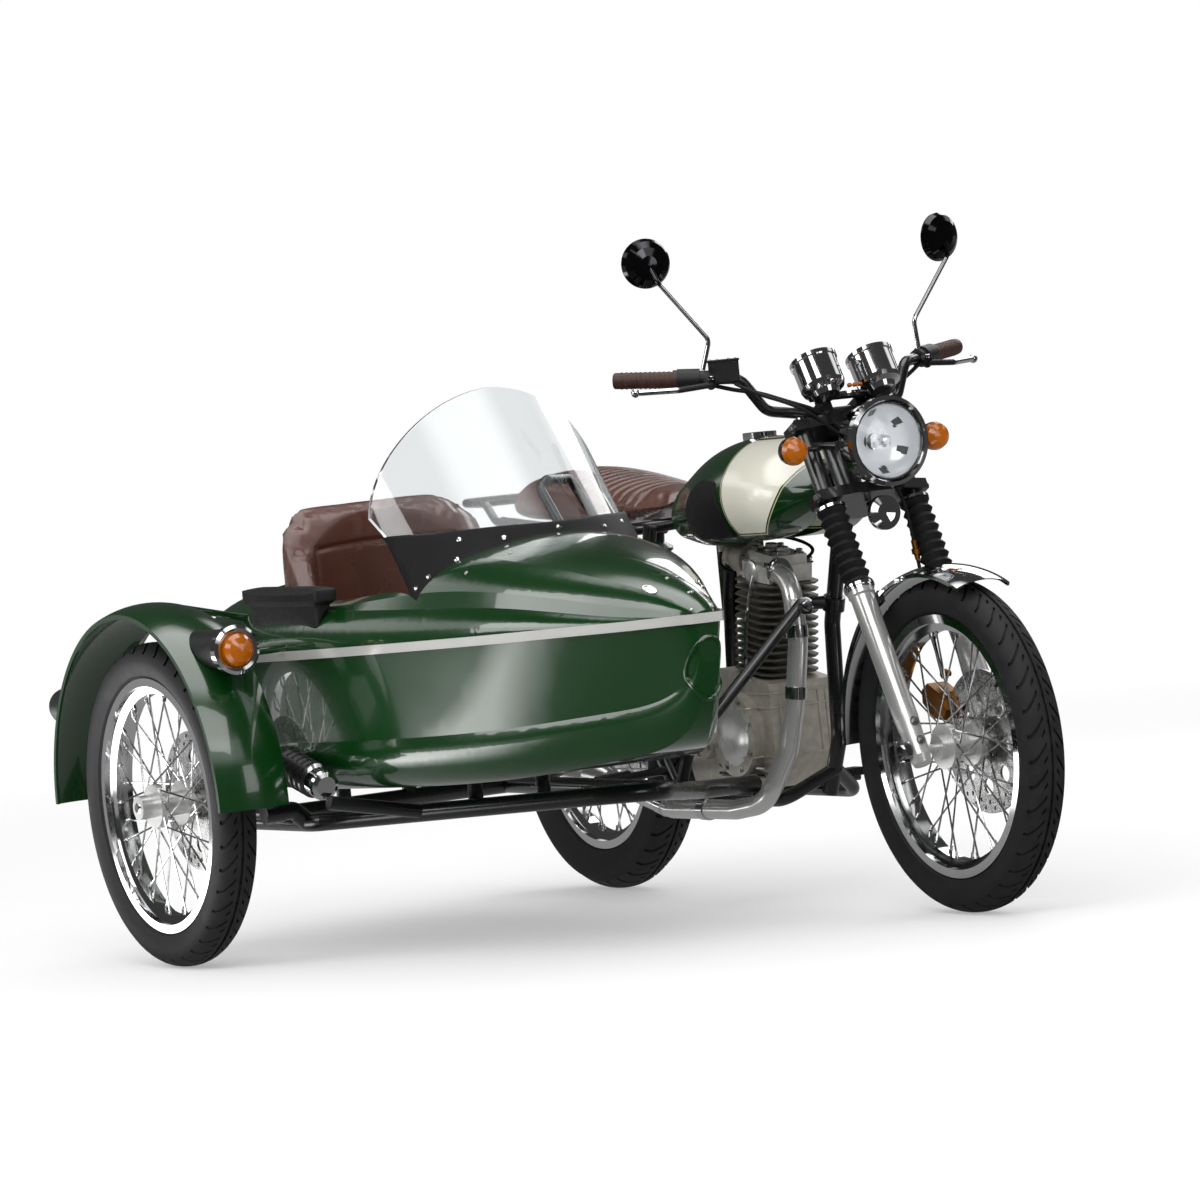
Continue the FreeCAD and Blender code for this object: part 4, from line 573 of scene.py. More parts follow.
def add_piece(name: str, parts: Sequence[Object], finish: Finish | None, body: str, slot: str,
              *replaced: str) -> Object:
    """Join parts into one piece, and give it its finish and its body.

    Args:
        name: the piece's name.
        parts: what it is joined from.
        finish: what it is made of; None keeps the materials it has.
        body: the CAD body that it rides on.
        slot: not used.
        *replaced: the CAD nodes that it stands for.
    """
    obj = Bench.join(parts)
    obj.name = obj.data.name = name
    if finish is not None:
        obj.data.materials.clear()
        obj.data.materials.append(finish.material())
    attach(obj, body)
    if replaced:
        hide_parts(*replaced)
    log.info("made %s: %d faces", name, len(obj.data.polygons))
    return obj


def repeat(name: str, model: Object, places: Sequence[Matrix], finish: Finish, body: str, slot: str,
           angle: float | None = None) -> None:
    """Add a model repeated at places as one piece, shaded smooth under an angle where one is given."""
    made = Bench.copies(model, places)
    add_piece(name, [made if angle is None else Bench.settle(made, angle)], finish, body, slot)


# --- studio
@dataclass
class Studio:
    """Camera, floor, backdrop and lamps."""

    eye: tuple = (-6536.5, -10480.5, 1232.8)
    azimuth: float = -28.88
    pitch: float = 2.63
    roll: float = -5.40
    lens: float = 193.0
    level: float = 0.85
    # floor: limits in metres, from the origin or the front axle
    fade: tuple = (2.2, 6.0, 0.35)
    panel_y: tuple = (0.33, 1.1)
    panel_x: tuple = (-1.3, -1.7)
    panel_end: tuple = (3.8, 3.2)
    panel_glow: float = 5.0
    dusk: tuple = (-0.6, 1.0, 0.05, 0.32)
    # world: limits as sines of the height above the horizon
    ring_foot: tuple = (0.34, 0.42)
    ring_top: tuple = (0.62, 0.54)
    roof: tuple = (0.84, 0.92)
    roof_glow: float = 3.0
    gaps: tuple = (-0.25, 0.05)
    boxes: float = 3.0
    first_box: float = 0.7
    box_glow: float = 1.05
    room_glow: float = 0.05

    def build(self) -> None:
        """Set up the whole studio."""
        bpy.context.scene.view_settings.view_transform = "Standard"
        self.camera()
        self.floor()
        self.surroundings()
        self.lamps()

    def camera(self) -> None:
        """Camera at the viewpoint, turned by azimuth, pitch and roll."""
        a, e, r = (math.radians(v) for v in (self.azimuth, self.pitch, self.roll))
        back = Vector((math.sin(a) * math.cos(e), -math.cos(a) * math.cos(e), math.sin(e)))
        right = (-back).cross(Z).normalized()
        up = right.cross(-back)
        right, up = math.cos(r) * right + math.sin(r) * up, math.cos(r) * up - math.sin(r) * right
        data = bpy.data.cameras.new("camera")
        data.lens, data.sensor_width = self.lens, 36
        data.clip_end = 100
        obj = bpy.data.objects.new("camera", data)
        turn = Matrix((right, up, back)).transposed().to_4x4()
        obj.matrix_world = Matrix.Translation(at(*self.eye)) @ turn
        bpy.context.collection.objects.link(obj)
        bpy.context.scene.camera = obj

    def floor(self) -> None:
        """Pale plain floor that fades into the backdrop with distance."""
        Bench.clear()
        bpy.ops.mesh.primitive_circle_add(vertices=96, radius=40, fill_type="NGON",
                                          location=(0, 0, -0.0005))
        floor = bpy.context.object
        floor.name = "floor"
        made = bpy.data.materials.new("floor")
        made.use_nodes = True
        wires = Wiring(made.node_tree)
        shader = made.node_tree.nodes["Principled BSDF"]
        shader.inputs["Base Color"].default_value = (0.93, 0.93, 0.93, 1)
        shader.inputs["Roughness"].default_value = 0.75
        shader.inputs["Specular IOR Level"].default_value = 0.2
        place = wires.add("TexCoord").outputs["Object"]
        reach = wires.add("VectorMath", {0: place}, operation="LENGTH").outputs["Value"]
        far = wires.ramp(reach, *self.fade)
        glow = wires.add("Emission", {"Strength": 1.0})
        mixed = wires.add("MixShader", {0: far, 1: shader.outputs[0], 2: glow.outputs[0]})
        # what metal and lacquer mirror: a dark floor with one long pale panel behind the wheel side
        split = wires.add("SeparateXYZ", {0: place})
        side, along, _ = split.outputs
        lengthways = wires.ramp(along, *(ORIGIN.y + limit for limit in self.panel_y))
        across = wires.ramp(side, *(ORIGIN.x + limit for limit in self.panel_x))
        end = wires.ramp(reach, *self.panel_end)
        panel = wires.math("MULTIPLY", wires.math("MULTIPLY", lengthways, across), end)
        near, far_off, dark, pale = self.dusk
        base = wires.ramp(along, ORIGIN.y + near, ORIGIN.y + far_off, dark, pale)
        strength = wires.math("MULTIPLY_ADD", panel, self.panel_glow, base)
        mirrored = wires.add("Emission", {"Strength": strength})
        rays = wires.add("LightPath").outputs
        glossy = wires.math("GREATER_THAN", rays["Is Glossy Ray"],
                            wires.math("ADD", rays["Is Transmission Ray"], 0.5))
        mixed = wires.add("MixShader", {0: glossy, 1: mixed.outputs[0], 2: mirrored.outputs[0]})
        output = made.node_tree.nodes["Material Output"]
        made.node_tree.links.new(mixed.outputs[0], output.inputs["Surface"])
        floor.data.materials.append(made)

    def surroundings(self) -> None:
        """World: white to the eye, plain light on the object, and dark gaps for metal to show."""
        world = bpy.data.worlds.new("studio")
        world.use_nodes = True
        bpy.context.scene.world = world
        wires = Wiring(world.node_tree)
        world.node_tree.nodes.clear()
        rays = wires.add("LightPath").outputs
        direction = wires.add("TexCoord").outputs["Generated"]
        split = wires.add("SeparateXYZ", {0: direction})
        height = split.outputs[2]
        # a dark room at eye level, a ring of soft boxes with gaps between them, and one overhead
        rise, fall, roof = (
            wires.ramp(height, *limits) for limits in (self.ring_foot, self.ring_top, self.roof))
        round_way = wires.math("ARCTAN2", split.outputs[1], split.outputs[0])
        spread = wires.math("SINE", wires.math("MULTIPLY_ADD", round_way, self.boxes, self.first_box))
        box = wires.ramp(spread, *self.gaps)
        ring = wires.math("MULTIPLY", wires.math("MULTIPLY", rise, fall), box)
        bright = wires.math("MAXIMUM", ring, wires.math("MULTIPLY", roof, self.roof_glow))
        shown = wires.math("MULTIPLY_ADD", bright, self.box_glow, self.room_glow)
        eye = wires.math("MAXIMUM", rays["Is Camera Ray"], rays["Is Transmission Ray"])
        strength = wires.add("Mix", data_type="FLOAT")
        wires.feed((strength.inputs[0], strength.inputs[2], strength.inputs[3]),
                   (rays["Is Glossy Ray"], self.level, shown))
        total = wires.math("MAXIMUM", eye, strength.outputs[0])
        ground = wires.add("Background", {"Color": (1, 1, 1, 1), "Strength": total})
        output = wires.add("OutputWorld")
        world.node_tree.links.new(ground.outputs[0], output.inputs[0])

    def lamps(self) -> None:
        """Soft boxes: a broad key overhead, one at each side and a low front fill."""
        for name, place, target, width, height, power in (
            ("key", (-2200, -2600, 3600), (-300, 600, 400), 3.2, 2.2, 70),
            ("side", (-4200, 900, 2200), (-600, 700, 500), 2.4, 1.6, 45),
            ("rim", (2600, 2600, 2600), (0, 700, 600), 2.4, 1.6, 30),
            ("front", (900, -4200, 1500), (0, 0, 500), 2.0, 1.4, 18),
        ):
            data = bpy.data.lights.new(name, "AREA")
            data.shape, data.size, data.size_y, data.energy = "RECTANGLE", width, height, power
            obj = bpy.data.objects.new(name, data)
            start, end = at(*place), at(*target)
            turn = (start - end).to_track_quat("Z", "Y").to_matrix().to_4x4()
            obj.matrix_world = Matrix.Translation(start) @ turn
            bpy.context.collection.objects.link(obj)


# --- wheels
@dataclass
class TreadedTyre:
    """A tyre with a moulded tread, which stands for its plain CAD tyre."""

    node: str
    body: str
    radius: float = 324
    bead: float = 255.8
    half_width: float = 44.0
    pitches: int = 40
    rows: int = 6
    depth: float = 4.5
    tread: float = 17.0
    rib: float = 2.5
    block: float = 9.0
    shoulder: float = 18.0
    cut: float = 0.17
    lean: float = 0.028
    lean_side: float = 34.0
    lean_reach: float = 12.0

    def build(self) -> None:
        """Model one tread pitch, sink its grooves, and repeat it round the wheel."""
        axle = middle(self.node)
        angle = 2 * math.pi / self.pitches
        section = self.profile()
        obj = Bench.sweep([*section, section[0]], self.rows, angle, (-1, 0, 0), False)
        self.cut_grooves(obj, angle)
        Bench.weld(obj, 1e-6, True)
        turns = [Matrix.Rotation(i * angle, 4, "X") for i in range(self.pitches)]
        ring = Bench.copies(Bench.settle(obj), [Matrix.Translation(axle) @ turn for turn in turns])
        Bench.weld(ring, 2e-5)
        add_piece(f"{self.node}_tread", [Bench.settle(ring, 30)], TYRE_RUBBER, self.body, "rubber_tread",
                  self.node)

    def profile(self) -> list[tuple[float, float]]:
        """Closed section as (side, radius) pairs in millimetres, the outside first."""
        r, bead = self.radius, self.bead
        half = self.half_width
        crown = [(0, r), (3, r), (10, r - 0.7), (17, r - 2.3), (24, r - 5), (30, r - 8.6), (35, r - 13)]
        wall = [(half * 0.9, r - 19), (half * 0.965, r - 28), (half * 0.97, r - 38),
                (half * 0.9, bead + 14), (half * 0.8, bead + 7), (half * 0.79, bead + 5),
                (28.6, bead + 1.5), (27, bead - 2)]
        inner = [(20, bead - 2), (27, bead + 14), (28, r - 30), (18, r - 14), (0, r - 11)]
        side = crown + wall + inner
        return [(-x, y) for x, y in side[::-1]] + side[1:-1]

    def cut_grooves(self, obj: Object, angle: float) -> None:
        """Sink the grooves between the blocks of one pitch, then lean its shoulder rows."""
        tread_r = (self.radius - self.tread) * MM

        def sunk(face: bmesh.types.BMFace) -> bool:
            """Whether a face lies in a groove."""
            spot = face.calc_center_median()
            if math.hypot(spot.y, spot.z) < tread_r:
                return False
            side, turn = abs(spot.x) / MM, abs(math.atan2(spot.y, spot.z) / angle) % 1
            shift = turn if spot.x > 0 else (turn + 0.5) % 1
            if side < self.rib:
                return True
            crossing = shift < self.cut or side < self.shoulder and 0.5 < shift < 0.5 + self.cut
            return side > self.block and crossing

        with Bench.editing(obj):
            Bench.pick(obj, sunk)
            bpy.ops.mesh.extrude_region_shrink_fatten(
                MESH_OT_extrude_region={}, TRANSFORM_OT_shrink_fatten={"value": -self.depth * MM})
        for vert in obj.data.vertices:
            if math.hypot(vert.co.y, vert.co.z) > tread_r - self.lean_reach * MM:
                lean = angle * self.lean * min(abs(vert.co.x) / MM, self.lean_side)
                vert.co = Matrix.Rotation(lean, 3, "X") @ vert.co


# --- seats
def press(obj: Object, depth: Callable[[Vector, Vector], float]) -> None:
    """Move each vertex inwards by a depth in mm, from its place in the bike frame and its normal."""
    seen = [(v.co.copy(), v.normal.copy()) for v in obj.data.vertices]
    for vert, (place, normal) in zip(obj.data.vertices, seen):
        vert.co = place - normal * depth((place - ORIGIN) / MM, normal) * MM


def groove(distance: float, width: float) -> float:
    """Depth share of a sewn line at a distance from it."""
    return math.exp(-(distance / width) ** 2)


@dataclass
class Pad:
    """A stuffed piece grown from its plain CAD solid by cloth under pressure."""

    node: str
    finish: Finish
    swell: float = 9.0
    start: float = 5.0
    voxel: float = 6.0
    pressure: float = 4.0
    fill: float = 0.7
    slot: str = "brown_leather"

    def build(self) -> None:
        """Swell the piece, sew it, and let it stand for its CAD solid."""
        obj = self.stuffed()
        press(obj, self.seam)
        obj = add_piece(f"{self.node}_cover", [Bench.settle(obj, 60)], self.finish, "chassis", self.slot,
                        self.node)

    def seam(self, place: Vector, normal: Vector) -> float:
        """Depth in millimetres of the sewn lines at a place; none on a plain pad."""
        return 0.0

    def stuffed(self) -> Object:
        """The swollen shape before sewing."""
        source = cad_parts[self.node]
        obj = source.copy()
        obj.data = source.data.copy()
        obj.parent = None
        for key in list(obj.keys()):
            del obj[key]
        bpy.context.collection.objects.link(obj)
        Bench.weld(obj, 1e-5)
        Bench.apply(obj, "REMESH", mode="VOXEL", voxel_size=self.voxel * MM)
        Bench.apply(obj, "SMOOTH", factor=0.5, iterations=6)
        press(obj, lambda place, normal: self.start)
        self.inflate(obj)
        Bench.apply(obj, "SMOOTH", factor=0.5, iterations=4)
        Bench.apply(obj, "SUBSURF", levels=1, render_levels=1)
        return obj

    def inflate(self, obj: Object) -> None:
        """Swell the surface as stuffed cloth, and cap how far a point moves."""
        rest = [v.co.copy() for v in obj.data.vertices]
        modifier = obj.modifiers.new("cloth", "CLOTH")
        settings = modifier.settings
        settings.quality, settings.mass = 5, 0.3
        settings.use_pressure, settings.uniform_pressure_force = True, self.pressure
        settings.tension_stiffness = settings.compression_stiffness = 15
        settings.bending_stiffness = 0.5
        settings.effector_weights.gravity = 0
        modifier.collision_settings.use_collision = False
        modifier.point_cache.frame_start, modifier.point_cache.frame_end = 1, 20
        for step in range(1, 21):
            bpy.context.scene.frame_set(step)
        Bench.choose(obj)
        bpy.ops.object.modifier_apply(modifier=modifier.name)
        bpy.context.scene.frame_set(1)
        for vert, old in zip(obj.data.vertices, rest):
            move = vert.co - old
            if move.length > self.swell * MM:
                vert.co = old + move.normalized() * self.swell * MM


@dataclass
class RibbedSeat(Pad):
    """The motorcycle's dual seat, with sewn channels across its top."""

    channel: float = 27.0
    sewn: float = 4.0
    first: float = 1010.0
    last: float = 1530.0
    half: float = 112.0

    def seam(self, place: Vector, normal: Vector) -> float:
        """Depth of the channels at a place."""
        if normal.z < 0.3 or not self.first < place.y < self.last:
            return 0.0
        across = max(0.0, 1 - (abs(place.x) / self.half) ** 6)
        phase = (place.y - self.first) / self.channel % 1
        dip = groove(min(phase, 1 - phase) * self.channel, 3.2)
        return self.sewn * dip * across * min(1, (normal.z - 0.3) * 3)


# --- small parts
UP_LEG = (on_fork(0, 0, 1) - on_fork(0, 0, 0)).normalized()
BACK_LEG = (on_fork(0, 1, 0) - on_fork(0, 0, 0)).normalized()


class Hardware:
    """Fasteners that several sub-assemblies share."""

    @staticmethod
    def bolt(across: float) -> Object:
        """Hexagon head on a washer, along +Z at the origin, sized over the flats in millimetres."""
        Bench.clear()
        bpy.ops.mesh.primitive_cylinder_add(vertices=6, radius=across * 0.577 * MM, depth=across * 0.6 * MM,
                                            location=(0, 0, across * 0.45 * MM))
        head = bpy.context.object
        bpy.ops.object.transform_apply(location=True)
        with Bench.editing(head):
            Bench.pick(head, lambda e: all(v.co.z > across * 0.7 * MM for v in e.verts), "edges")
            bpy.ops.mesh.bevel(offset=across * 0.08 * MM, segments=1)
        rim = across * 0.85
        washer = Bench.lathe([(0, 0), (rim, 0), (rim, across * 0.15), (0, across * 0.15)], Vector(), Z, 20)
        return Bench.join([head, washer])

    @staticmethod
    def bolts(name: str, across: float, places: Sequence[Matrix], finish: Finish, body: str,
              slot: str) -> None:
        """A set of like bolts as one piece."""
        repeat(name, Hardware.bolt(across), places, finish, body, slot, 30)

    @staticmethod
    def stud(radius: float, height: float) -> Object:
        """Domed stud along +Z at the origin."""
        profile = [(0, -1), (radius, -1), (radius, height * 0.3), (radius * 0.8, height * 0.75),
                   (radius * 0.4, height * 0.97), (0, height)]
        return Bench.lathe(profile, Vector(), Z, 16)

    @staticmethod
    def ring(centre: Vector, direction: Vector, radius: float, count: int,
             start: float = 0.0) -> list[Matrix]:
        """Places of a bolt circle, with the heads facing a direction and the first one turned by start."""
        base = stand(centre, direction)
        return [base @ Matrix.Rotation(start + i * 2 * math.pi / count, 4, "Z")
                @ Matrix.Translation((radius * MM, 0, 0)) for i in range(count)]


# --- wheel details
@dataclass
class WheelTrim:
    """Spoke nipples, valve, axle nuts and disc bolts of one wheel."""

    wheel: str
    body: str
    carrier: str
    well: float
    nuts: tuple[float, ...]
    disc_x: float = 0.0
    nipples: int = 36
    nut: float = 24.0

    def build(self) -> None:
        """Make every small part of the wheel."""
        axle = middle(f"{self.wheel}_tyre")
        self.lace(axle)
        self.valve(axle)
        nuts = [stand(axle + X * x * MM, X * math.copysign(1, x)) for x in self.nuts]
        if nuts:
            Hardware.bolts(f"{self.wheel}_axle_nuts", self.nut, nuts, CHROME, self.carrier, "chrome")
        if self.disc_x:
            places = []
            for side in (1, -1):
                face = axle + X * (self.disc_x + side * 2.5) * MM
                places += Hardware.ring(face, X * side, 34, 6)
            Hardware.bolts(f"{self.wheel}_disc_bolts", 10, places, STEEL, self.body, "disc_steel")

    def lace(self, axle: Vector) -> None:
        """Nipples where the spokes meet the rim."""
        nipple = Bench.lathe([(0, 0), (3.8, 0), (3.8, 4), (2.8, 5), (2.6, 13), (0, 13)], Vector(), Z, 8)
        places = []
        for i in range(self.nipples):
            angle, side = 2 * math.pi * i / self.nipples, 1 if i % 2 else -1
            inward = Vector((0, -math.cos(angle), -math.sin(angle)))
            places.append(stand(axle + X * side * 5 * MM - inward * self.well * MM,
                                inward + X * side * 0.12))
        repeat(f"{self.wheel}_nipples", nipple, places, SPOKE, self.body, "chrome", 35)

    def valve(self, axle: Vector) -> None:
        """Valve stem with its cap, between two spokes."""
        angle = math.pi / self.nipples + 2.4
        inward = Vector((0, -math.cos(angle), -math.sin(angle)))
        profile = [(0, 0), (5, 0), (5, 3), (2.8, 4), (2.8, 22), (3.8, 23), (3.8, 34), (2.8, 36), (0, 36)]
        stem = Bench.lathe(profile, axle - inward * self.well * MM, inward, 12)
        add_piece(f"{self.wheel}_valve", [stem], RUBBER, self.body, "rubber_tread")


# --- fork and lights
@dataclass
class ForkTrim:
    """Gaiter clips, tube caps, hose and looms that turn with the fork."""

    leg_x: float = 95.0
    boot_foot: float = 349.0
    boot_top: float = 528.0
    cap_level: float = 712.0

    def build(self) -> None:
        """Make the fork's small parts."""
        clips = []
        for level, outer in ((self.boot_foot - 4, 28.6), (self.boot_foot + 1, 31.0),
                             (self.boot_top - 7, 30.8)):
            section = [(outer - 5, 0), (outer, 0), (outer, 6), (outer - 5, 6)]
            for side in (1, -1):
                clips.append(Bench.lathe(section, on_fork(side * self.leg_x, 0, level), UP_LEG, 40, True))
        add_piece("gaiter_clips", clips, CHROME, "fork", "chrome")
        caps = []
        for x, back, radius in ((self.leg_x, 0, 19), (-self.leg_x, 0, 19), (0, 55, 21)):
            profile = [(0, 0), (radius, 0), (radius, 4), (radius - 2, 6), (radius - 6, 6.5),
                       (radius - 7, 12),
                       (0, 13)]
            caps.append(Bench.lathe(profile, on_fork(x, back, self.cap_level), UP_LEG, 32))
        add_piece("fork_caps", caps, CHROME, "fork", "chrome")
        pinch = [stand(on_fork(side * (self.leg_x + 27), -12, level), X * side)
                 for side in (1, -1) for level in (547, 701)]
        lower = [stand(on_fork(side * self.leg_x, -23.6, level), -BACK_LEG)
                 for side in (1, -1) for level in (12, 52)]
        Hardware.bolts("fork_bolts", 11, pinch + lower, STEEL, "fork", "alloy")
        self.hose()
        self.looms()

    def hose(self) -> None:
        """Front brake hose, held from the lower yoke to the caliper, with its gold union."""
        route = [at(30, 222, 846), at(44, 203, 812), at(52, 196, 770), at(64, 198, 700), at(73, 196, 625),
                 at(74, 182, 560), at(72, 172, 500), at(74, 158, 452)]
        add_piece("front_brake_hose", [Bench.run(route, 3.8)], RUBBER, "fork", "black_rubber")
        union = [Bench.lathe([(0, 0), (6, 0), (6, 16), (9, 17), (9, 27), (6, 28), (5, 40), (0, 40)],
                             at(61, 197, 716), at(64, 198, 700) - at(52, 196, 770), 12),
                 Bench.lathe([(0, 0), (9, 0), (10, 2), (10, 10), (6, 12), (6, 18), (0, 19)],
                             at(70, 152, 452), X, 14)]
        add_piece("hose_unions", union, GOLD, "fork", "caliper_gold")

    def looms(self) -> None:
        """Switch wiring and the lever hose, along the bar into the back of the headlamp."""
        right = [at(-236, 402, 1052), at(-205, 388, 1040), at(-165, 352, 1030), at(-118, 330, 1008),
                 at(-66, 300, 985), at(-34, 276, 950), at(-22, 262, 928)]
        hose = [at(-212, 362, 1052), at(-180, 338, 1028), at(-130, 308, 1006), at(-86, 290, 980),
                at(-46, 272, 940), at(-14, 264, 912)]
        left = [at(236, 402, 1052), at(205, 388, 1036), at(160, 358, 1022), at(110, 328, 1000),
                at(62, 298, 978), at(30, 274, 945), at(20, 262, 924)]
        runs = [Bench.run(path, radius) for path, radius in ((right, 4.2), (hose, 3.4), (left, 4.2))]
        add_piece("bar_looms", runs, RUBBER, "fork", "black_rubber")


@dataclass
class Headlamp:
    """Reflector with painted dark reflection sectors, bulb shield behind the glass, and the rim screw."""

    centre: tuple[float, float, float] = (0.0, 160.0, 915.0)
    radius: float = 73.0
    sectors: int = 24

    def build(self) -> None:
        """Make the inside of the lamp."""
        bowl = [(self.radius, 1), (70, 12), (62, 28), (48, 42), (32, 50), (15, 53), (15, 51.5), (31, 48.5),
                (47, 40), (60, 27), (68, 11), (self.radius - 2, 0)]
        centre = at(*self.centre)
        reflector = Bench.lathe(bowl, centre, Y, self.sectors)
        reflector.data.materials.append(RECESS.material())
        reflector.data.materials.append(DIAL.material())
        # dark faces in a ring of the bowl: painted dark reflections of the room in the reflector
        for face in reflector.data.polygons:
            away = face.center - centre
            sector = math.degrees(math.atan2(away.z, away.x)) % 60
            reach = math.hypot(away.x, away.z) / MM
            if 40 < reach < 61 and 26 < sector < 41:
                face.material_index = 1
        add_piece("headlamp_reflector", [reflector], None, "fork", "lens")
        shield = Bench.lathe([(0, -15), (7, -14), (12, -9), (13.5, -2), (13.5, 16), (12, 16),
                              (12, -1), (0, -8)], at(0, 178, 915), Y, 28)
        add_piece("bulb_shield", [shield], CHROME, "fork", "chrome")
        repeat("rim_screw", Hardware.stud(3.4, 2.5), [stand(at(0, 158, 826.6), -Z)], CHROME, "fork",
               "chrome")


@dataclass
class Instruments:
    """Dial faces, marks, needles and glasses in the two cups."""

    offset: float = 64.0
    height: float = 33.0
    face_r: float = 42.0

    def build(self) -> None:
        """Make both dials."""
        tilt = Vector((0, 0.5, 0.87)).normalized()
        glass = [(0, 4), (self.face_r, 4), (self.face_r, 5), (0, 5.6)]
        faces, marks, glasses, needles = [], [], [], []
        for side in (1, -1):
            base = at(side * self.offset, 288, 1050) + tilt * self.height * MM
            faces.append(Bench.lathe([(0, 0), (self.face_r, 0), (self.face_r, 1), (0, 1)], base, tilt, 48))
            frame_turn = self.upright(base, tilt)
            marks += self.marks(frame_turn, side)
            needles.append(self.needle(frame_turn, 0.6 if side > 0 else -0.4))
            glasses.append(Bench.lathe(glass, base, tilt))
        add_piece("dial_faces", faces, DIAL, "fork", "black_paint")
        add_piece("dial_marks", marks, DIAL_MARK, "fork", "lens")
        add_piece("dial_needles", needles, RED, "fork", "red_lamp")
        add_piece("dial_glasses", glasses, LENS, "fork", "lens")
        lamps = [Bench.lathe([(0, 0), (5, 0), (5, 4), (3, 6), (0, 6.5)], at(x, 262, 1026), tilt, 16)
                 for x in (-12, 0, 12)]
        add_piece("tell_tales", lamps, AMBER, "fork", "amber_lamp")

    @staticmethod
    def upright(base: Vector, tilt: Vector) -> Matrix:
        """Frame of a dial: x to the rider's right, y up the dial, z out of it."""
        right = -X
        up = tilt.cross(right).normalized()
        turn = Matrix((right, up, tilt)).transposed().to_4x4()
        return Matrix.Translation(base) @ turn

    def marks(self, place: Matrix, side: int) -> list[Object]:
        """Ticks and plain numbers round one dial."""
        made = []
        for i in range(25):
            angle = math.radians(225 - i * 11.25)
            long = i % 4 == 0
            width, length, inset = (0.0012, 0.006, 5.5) if long else (0.0007, 0.0035, 4.2)
            tick = Bench.cube((width, length, 0.0004))
            reach = self.face_r - inset
            turn = Matrix.Rotation(angle - math.pi / 2, 4, "Z")
            tick.data.transform(place @ turn @ Matrix.Translation((0, reach * MM, 1.2 * MM)))
            made.append(tick)
            if long:
                made.append(self.number(place, str(i // 4 * (20 if side > 0 else 2)), angle))
        return made

    def number(self, place: Matrix, text: str, angle: float) -> Object:
        """One plain number on a dial."""
        Bench.clear()
        bpy.ops.object.text_add()
        obj = bpy.context.object
        obj.data.body, obj.data.size = text, 0.0085
        obj.data.align_x, obj.data.align_y = "CENTER", "CENTER"
        obj.data.extrude, obj.data.resolution_u = 0.0002, 2
        Bench.choose(obj)
        bpy.ops.object.convert(target="MESH")
        obj = bpy.context.object
        reach = (self.face_r - 15) * MM
        spot = (math.cos(angle) * reach, math.sin(angle) * reach, 1.3 * MM)
        obj.data.transform(place @ Matrix.Translation(spot))
        return obj

    def needle(self, place: Matrix, swing: float) -> Object:
        """Tapered needle with its boss."""
        boss = Bench.lathe([(0, 0), (5, 0), (5, 1.6), (3, 2.4), (0, 2.5)], Vector((0, 0, 1.2 * MM)), Z, 20)
        arm = Bench.cube((0.0022, 0.034, 0.0006), (0, 0.013, 0.0024))
        with Bench.editing(arm):
            Bench.pick(arm, lambda f: f.normal.y > 0.9)
            bpy.ops.transform.resize(value=(0.3, 1, 1))
        joined = Bench.join([boss, arm])
        joined.data.transform(place @ Matrix.Rotation(swing + 2.2, 4, "Z"))
        return joined


@dataclass
class BarTrim:
    """Ribbed grip sleeves, bar ends, lever pivots, switches and the reservoir's lid."""

    outer: tuple[float, float, float] = (-392.0, 508.0, 1078.0)
    inner: tuple[float, float, float] = (-190.0, 378.0, 1061.0)
    rings: int = 11

    def build(self) -> None:
        """Make the handlebar's small parts on both sides."""
        start = Vector(self.outer)
        run = (Vector(self.inner) - start).normalized()
        rib = [(15.5, -2.6), (16.9, -1.6), (16.9, 1.6), (15.5, 2.6)]
        cap = [(0, -9), (10, -8), (14.5, -6), (15, -4), (0, -4)]
        ribs, ends, pivots, knobs = [], [], [], []
        for side in (1, -1):
            way = Vector((run.x * side, run.y, run.z))
            for i in range(self.rings):
                spot = self.mirrored(start + run * (10 + i * 9.2), side)
                ribs.append(Bench.lathe(rib, spot, way, 28, True))
            ends.append(Bench.lathe(cap, self.mirrored(start, side), way, 28))
            pivots.append(stand(self.mirrored(start + run * 170 + Vector((0, -30, -2)), side), Z))
            for reach in (138, 152):
                spot = self.mirrored(start + run * reach + Vector((0, 17, 12)), side)
                knobs.append(stand(spot, Vector((0, 0.8, 0.6))))
        add_piece("grip_ribs", ribs, GRIP_RUBBER, "fork", "brown_grip")
        add_piece("bar_ends", ends, GRIP_RUBBER, "fork", "brown_grip")
        Hardware.bolts("lever_pivots", 9, pivots, CHROME, "fork", "chrome")
        repeat("switch_buttons", Hardware.stud(5.5, 5), knobs, RED, "fork", "red_lamp")
        self.lid(start + run * 204)

    @staticmethod
    def mirrored(point: Vector, side: int) -> Vector:
        """A point of the rider's right side, or its mirror image, in metres."""
        return at(point.x * side, point.y, point.z)

    def lid(self, tank: Vector) -> None:
        """Lid of the brake reservoir, with its four screws."""
        middle_y = tank.y - 13
        lid = Bench.cube((0.054, 0.038, 0.005), at(tank.x, middle_y, tank.z + 35.5))
        Bench.apply(Bench.settle(lid), "BEVEL", width=0.0016, segments=2)
        add_piece("reservoir_lid", [Bench.settle(lid, 30)], MOULDING, "fork", "black_paint")
        screws = [stand(at(tank.x + x, middle_y + y, tank.z + 38), Z) for x in (-21, 21) for y in (-13, 13)]
        repeat("lid_screws", Hardware.stud(2.6, 1.8), screws, STEEL, "fork", "chrome")


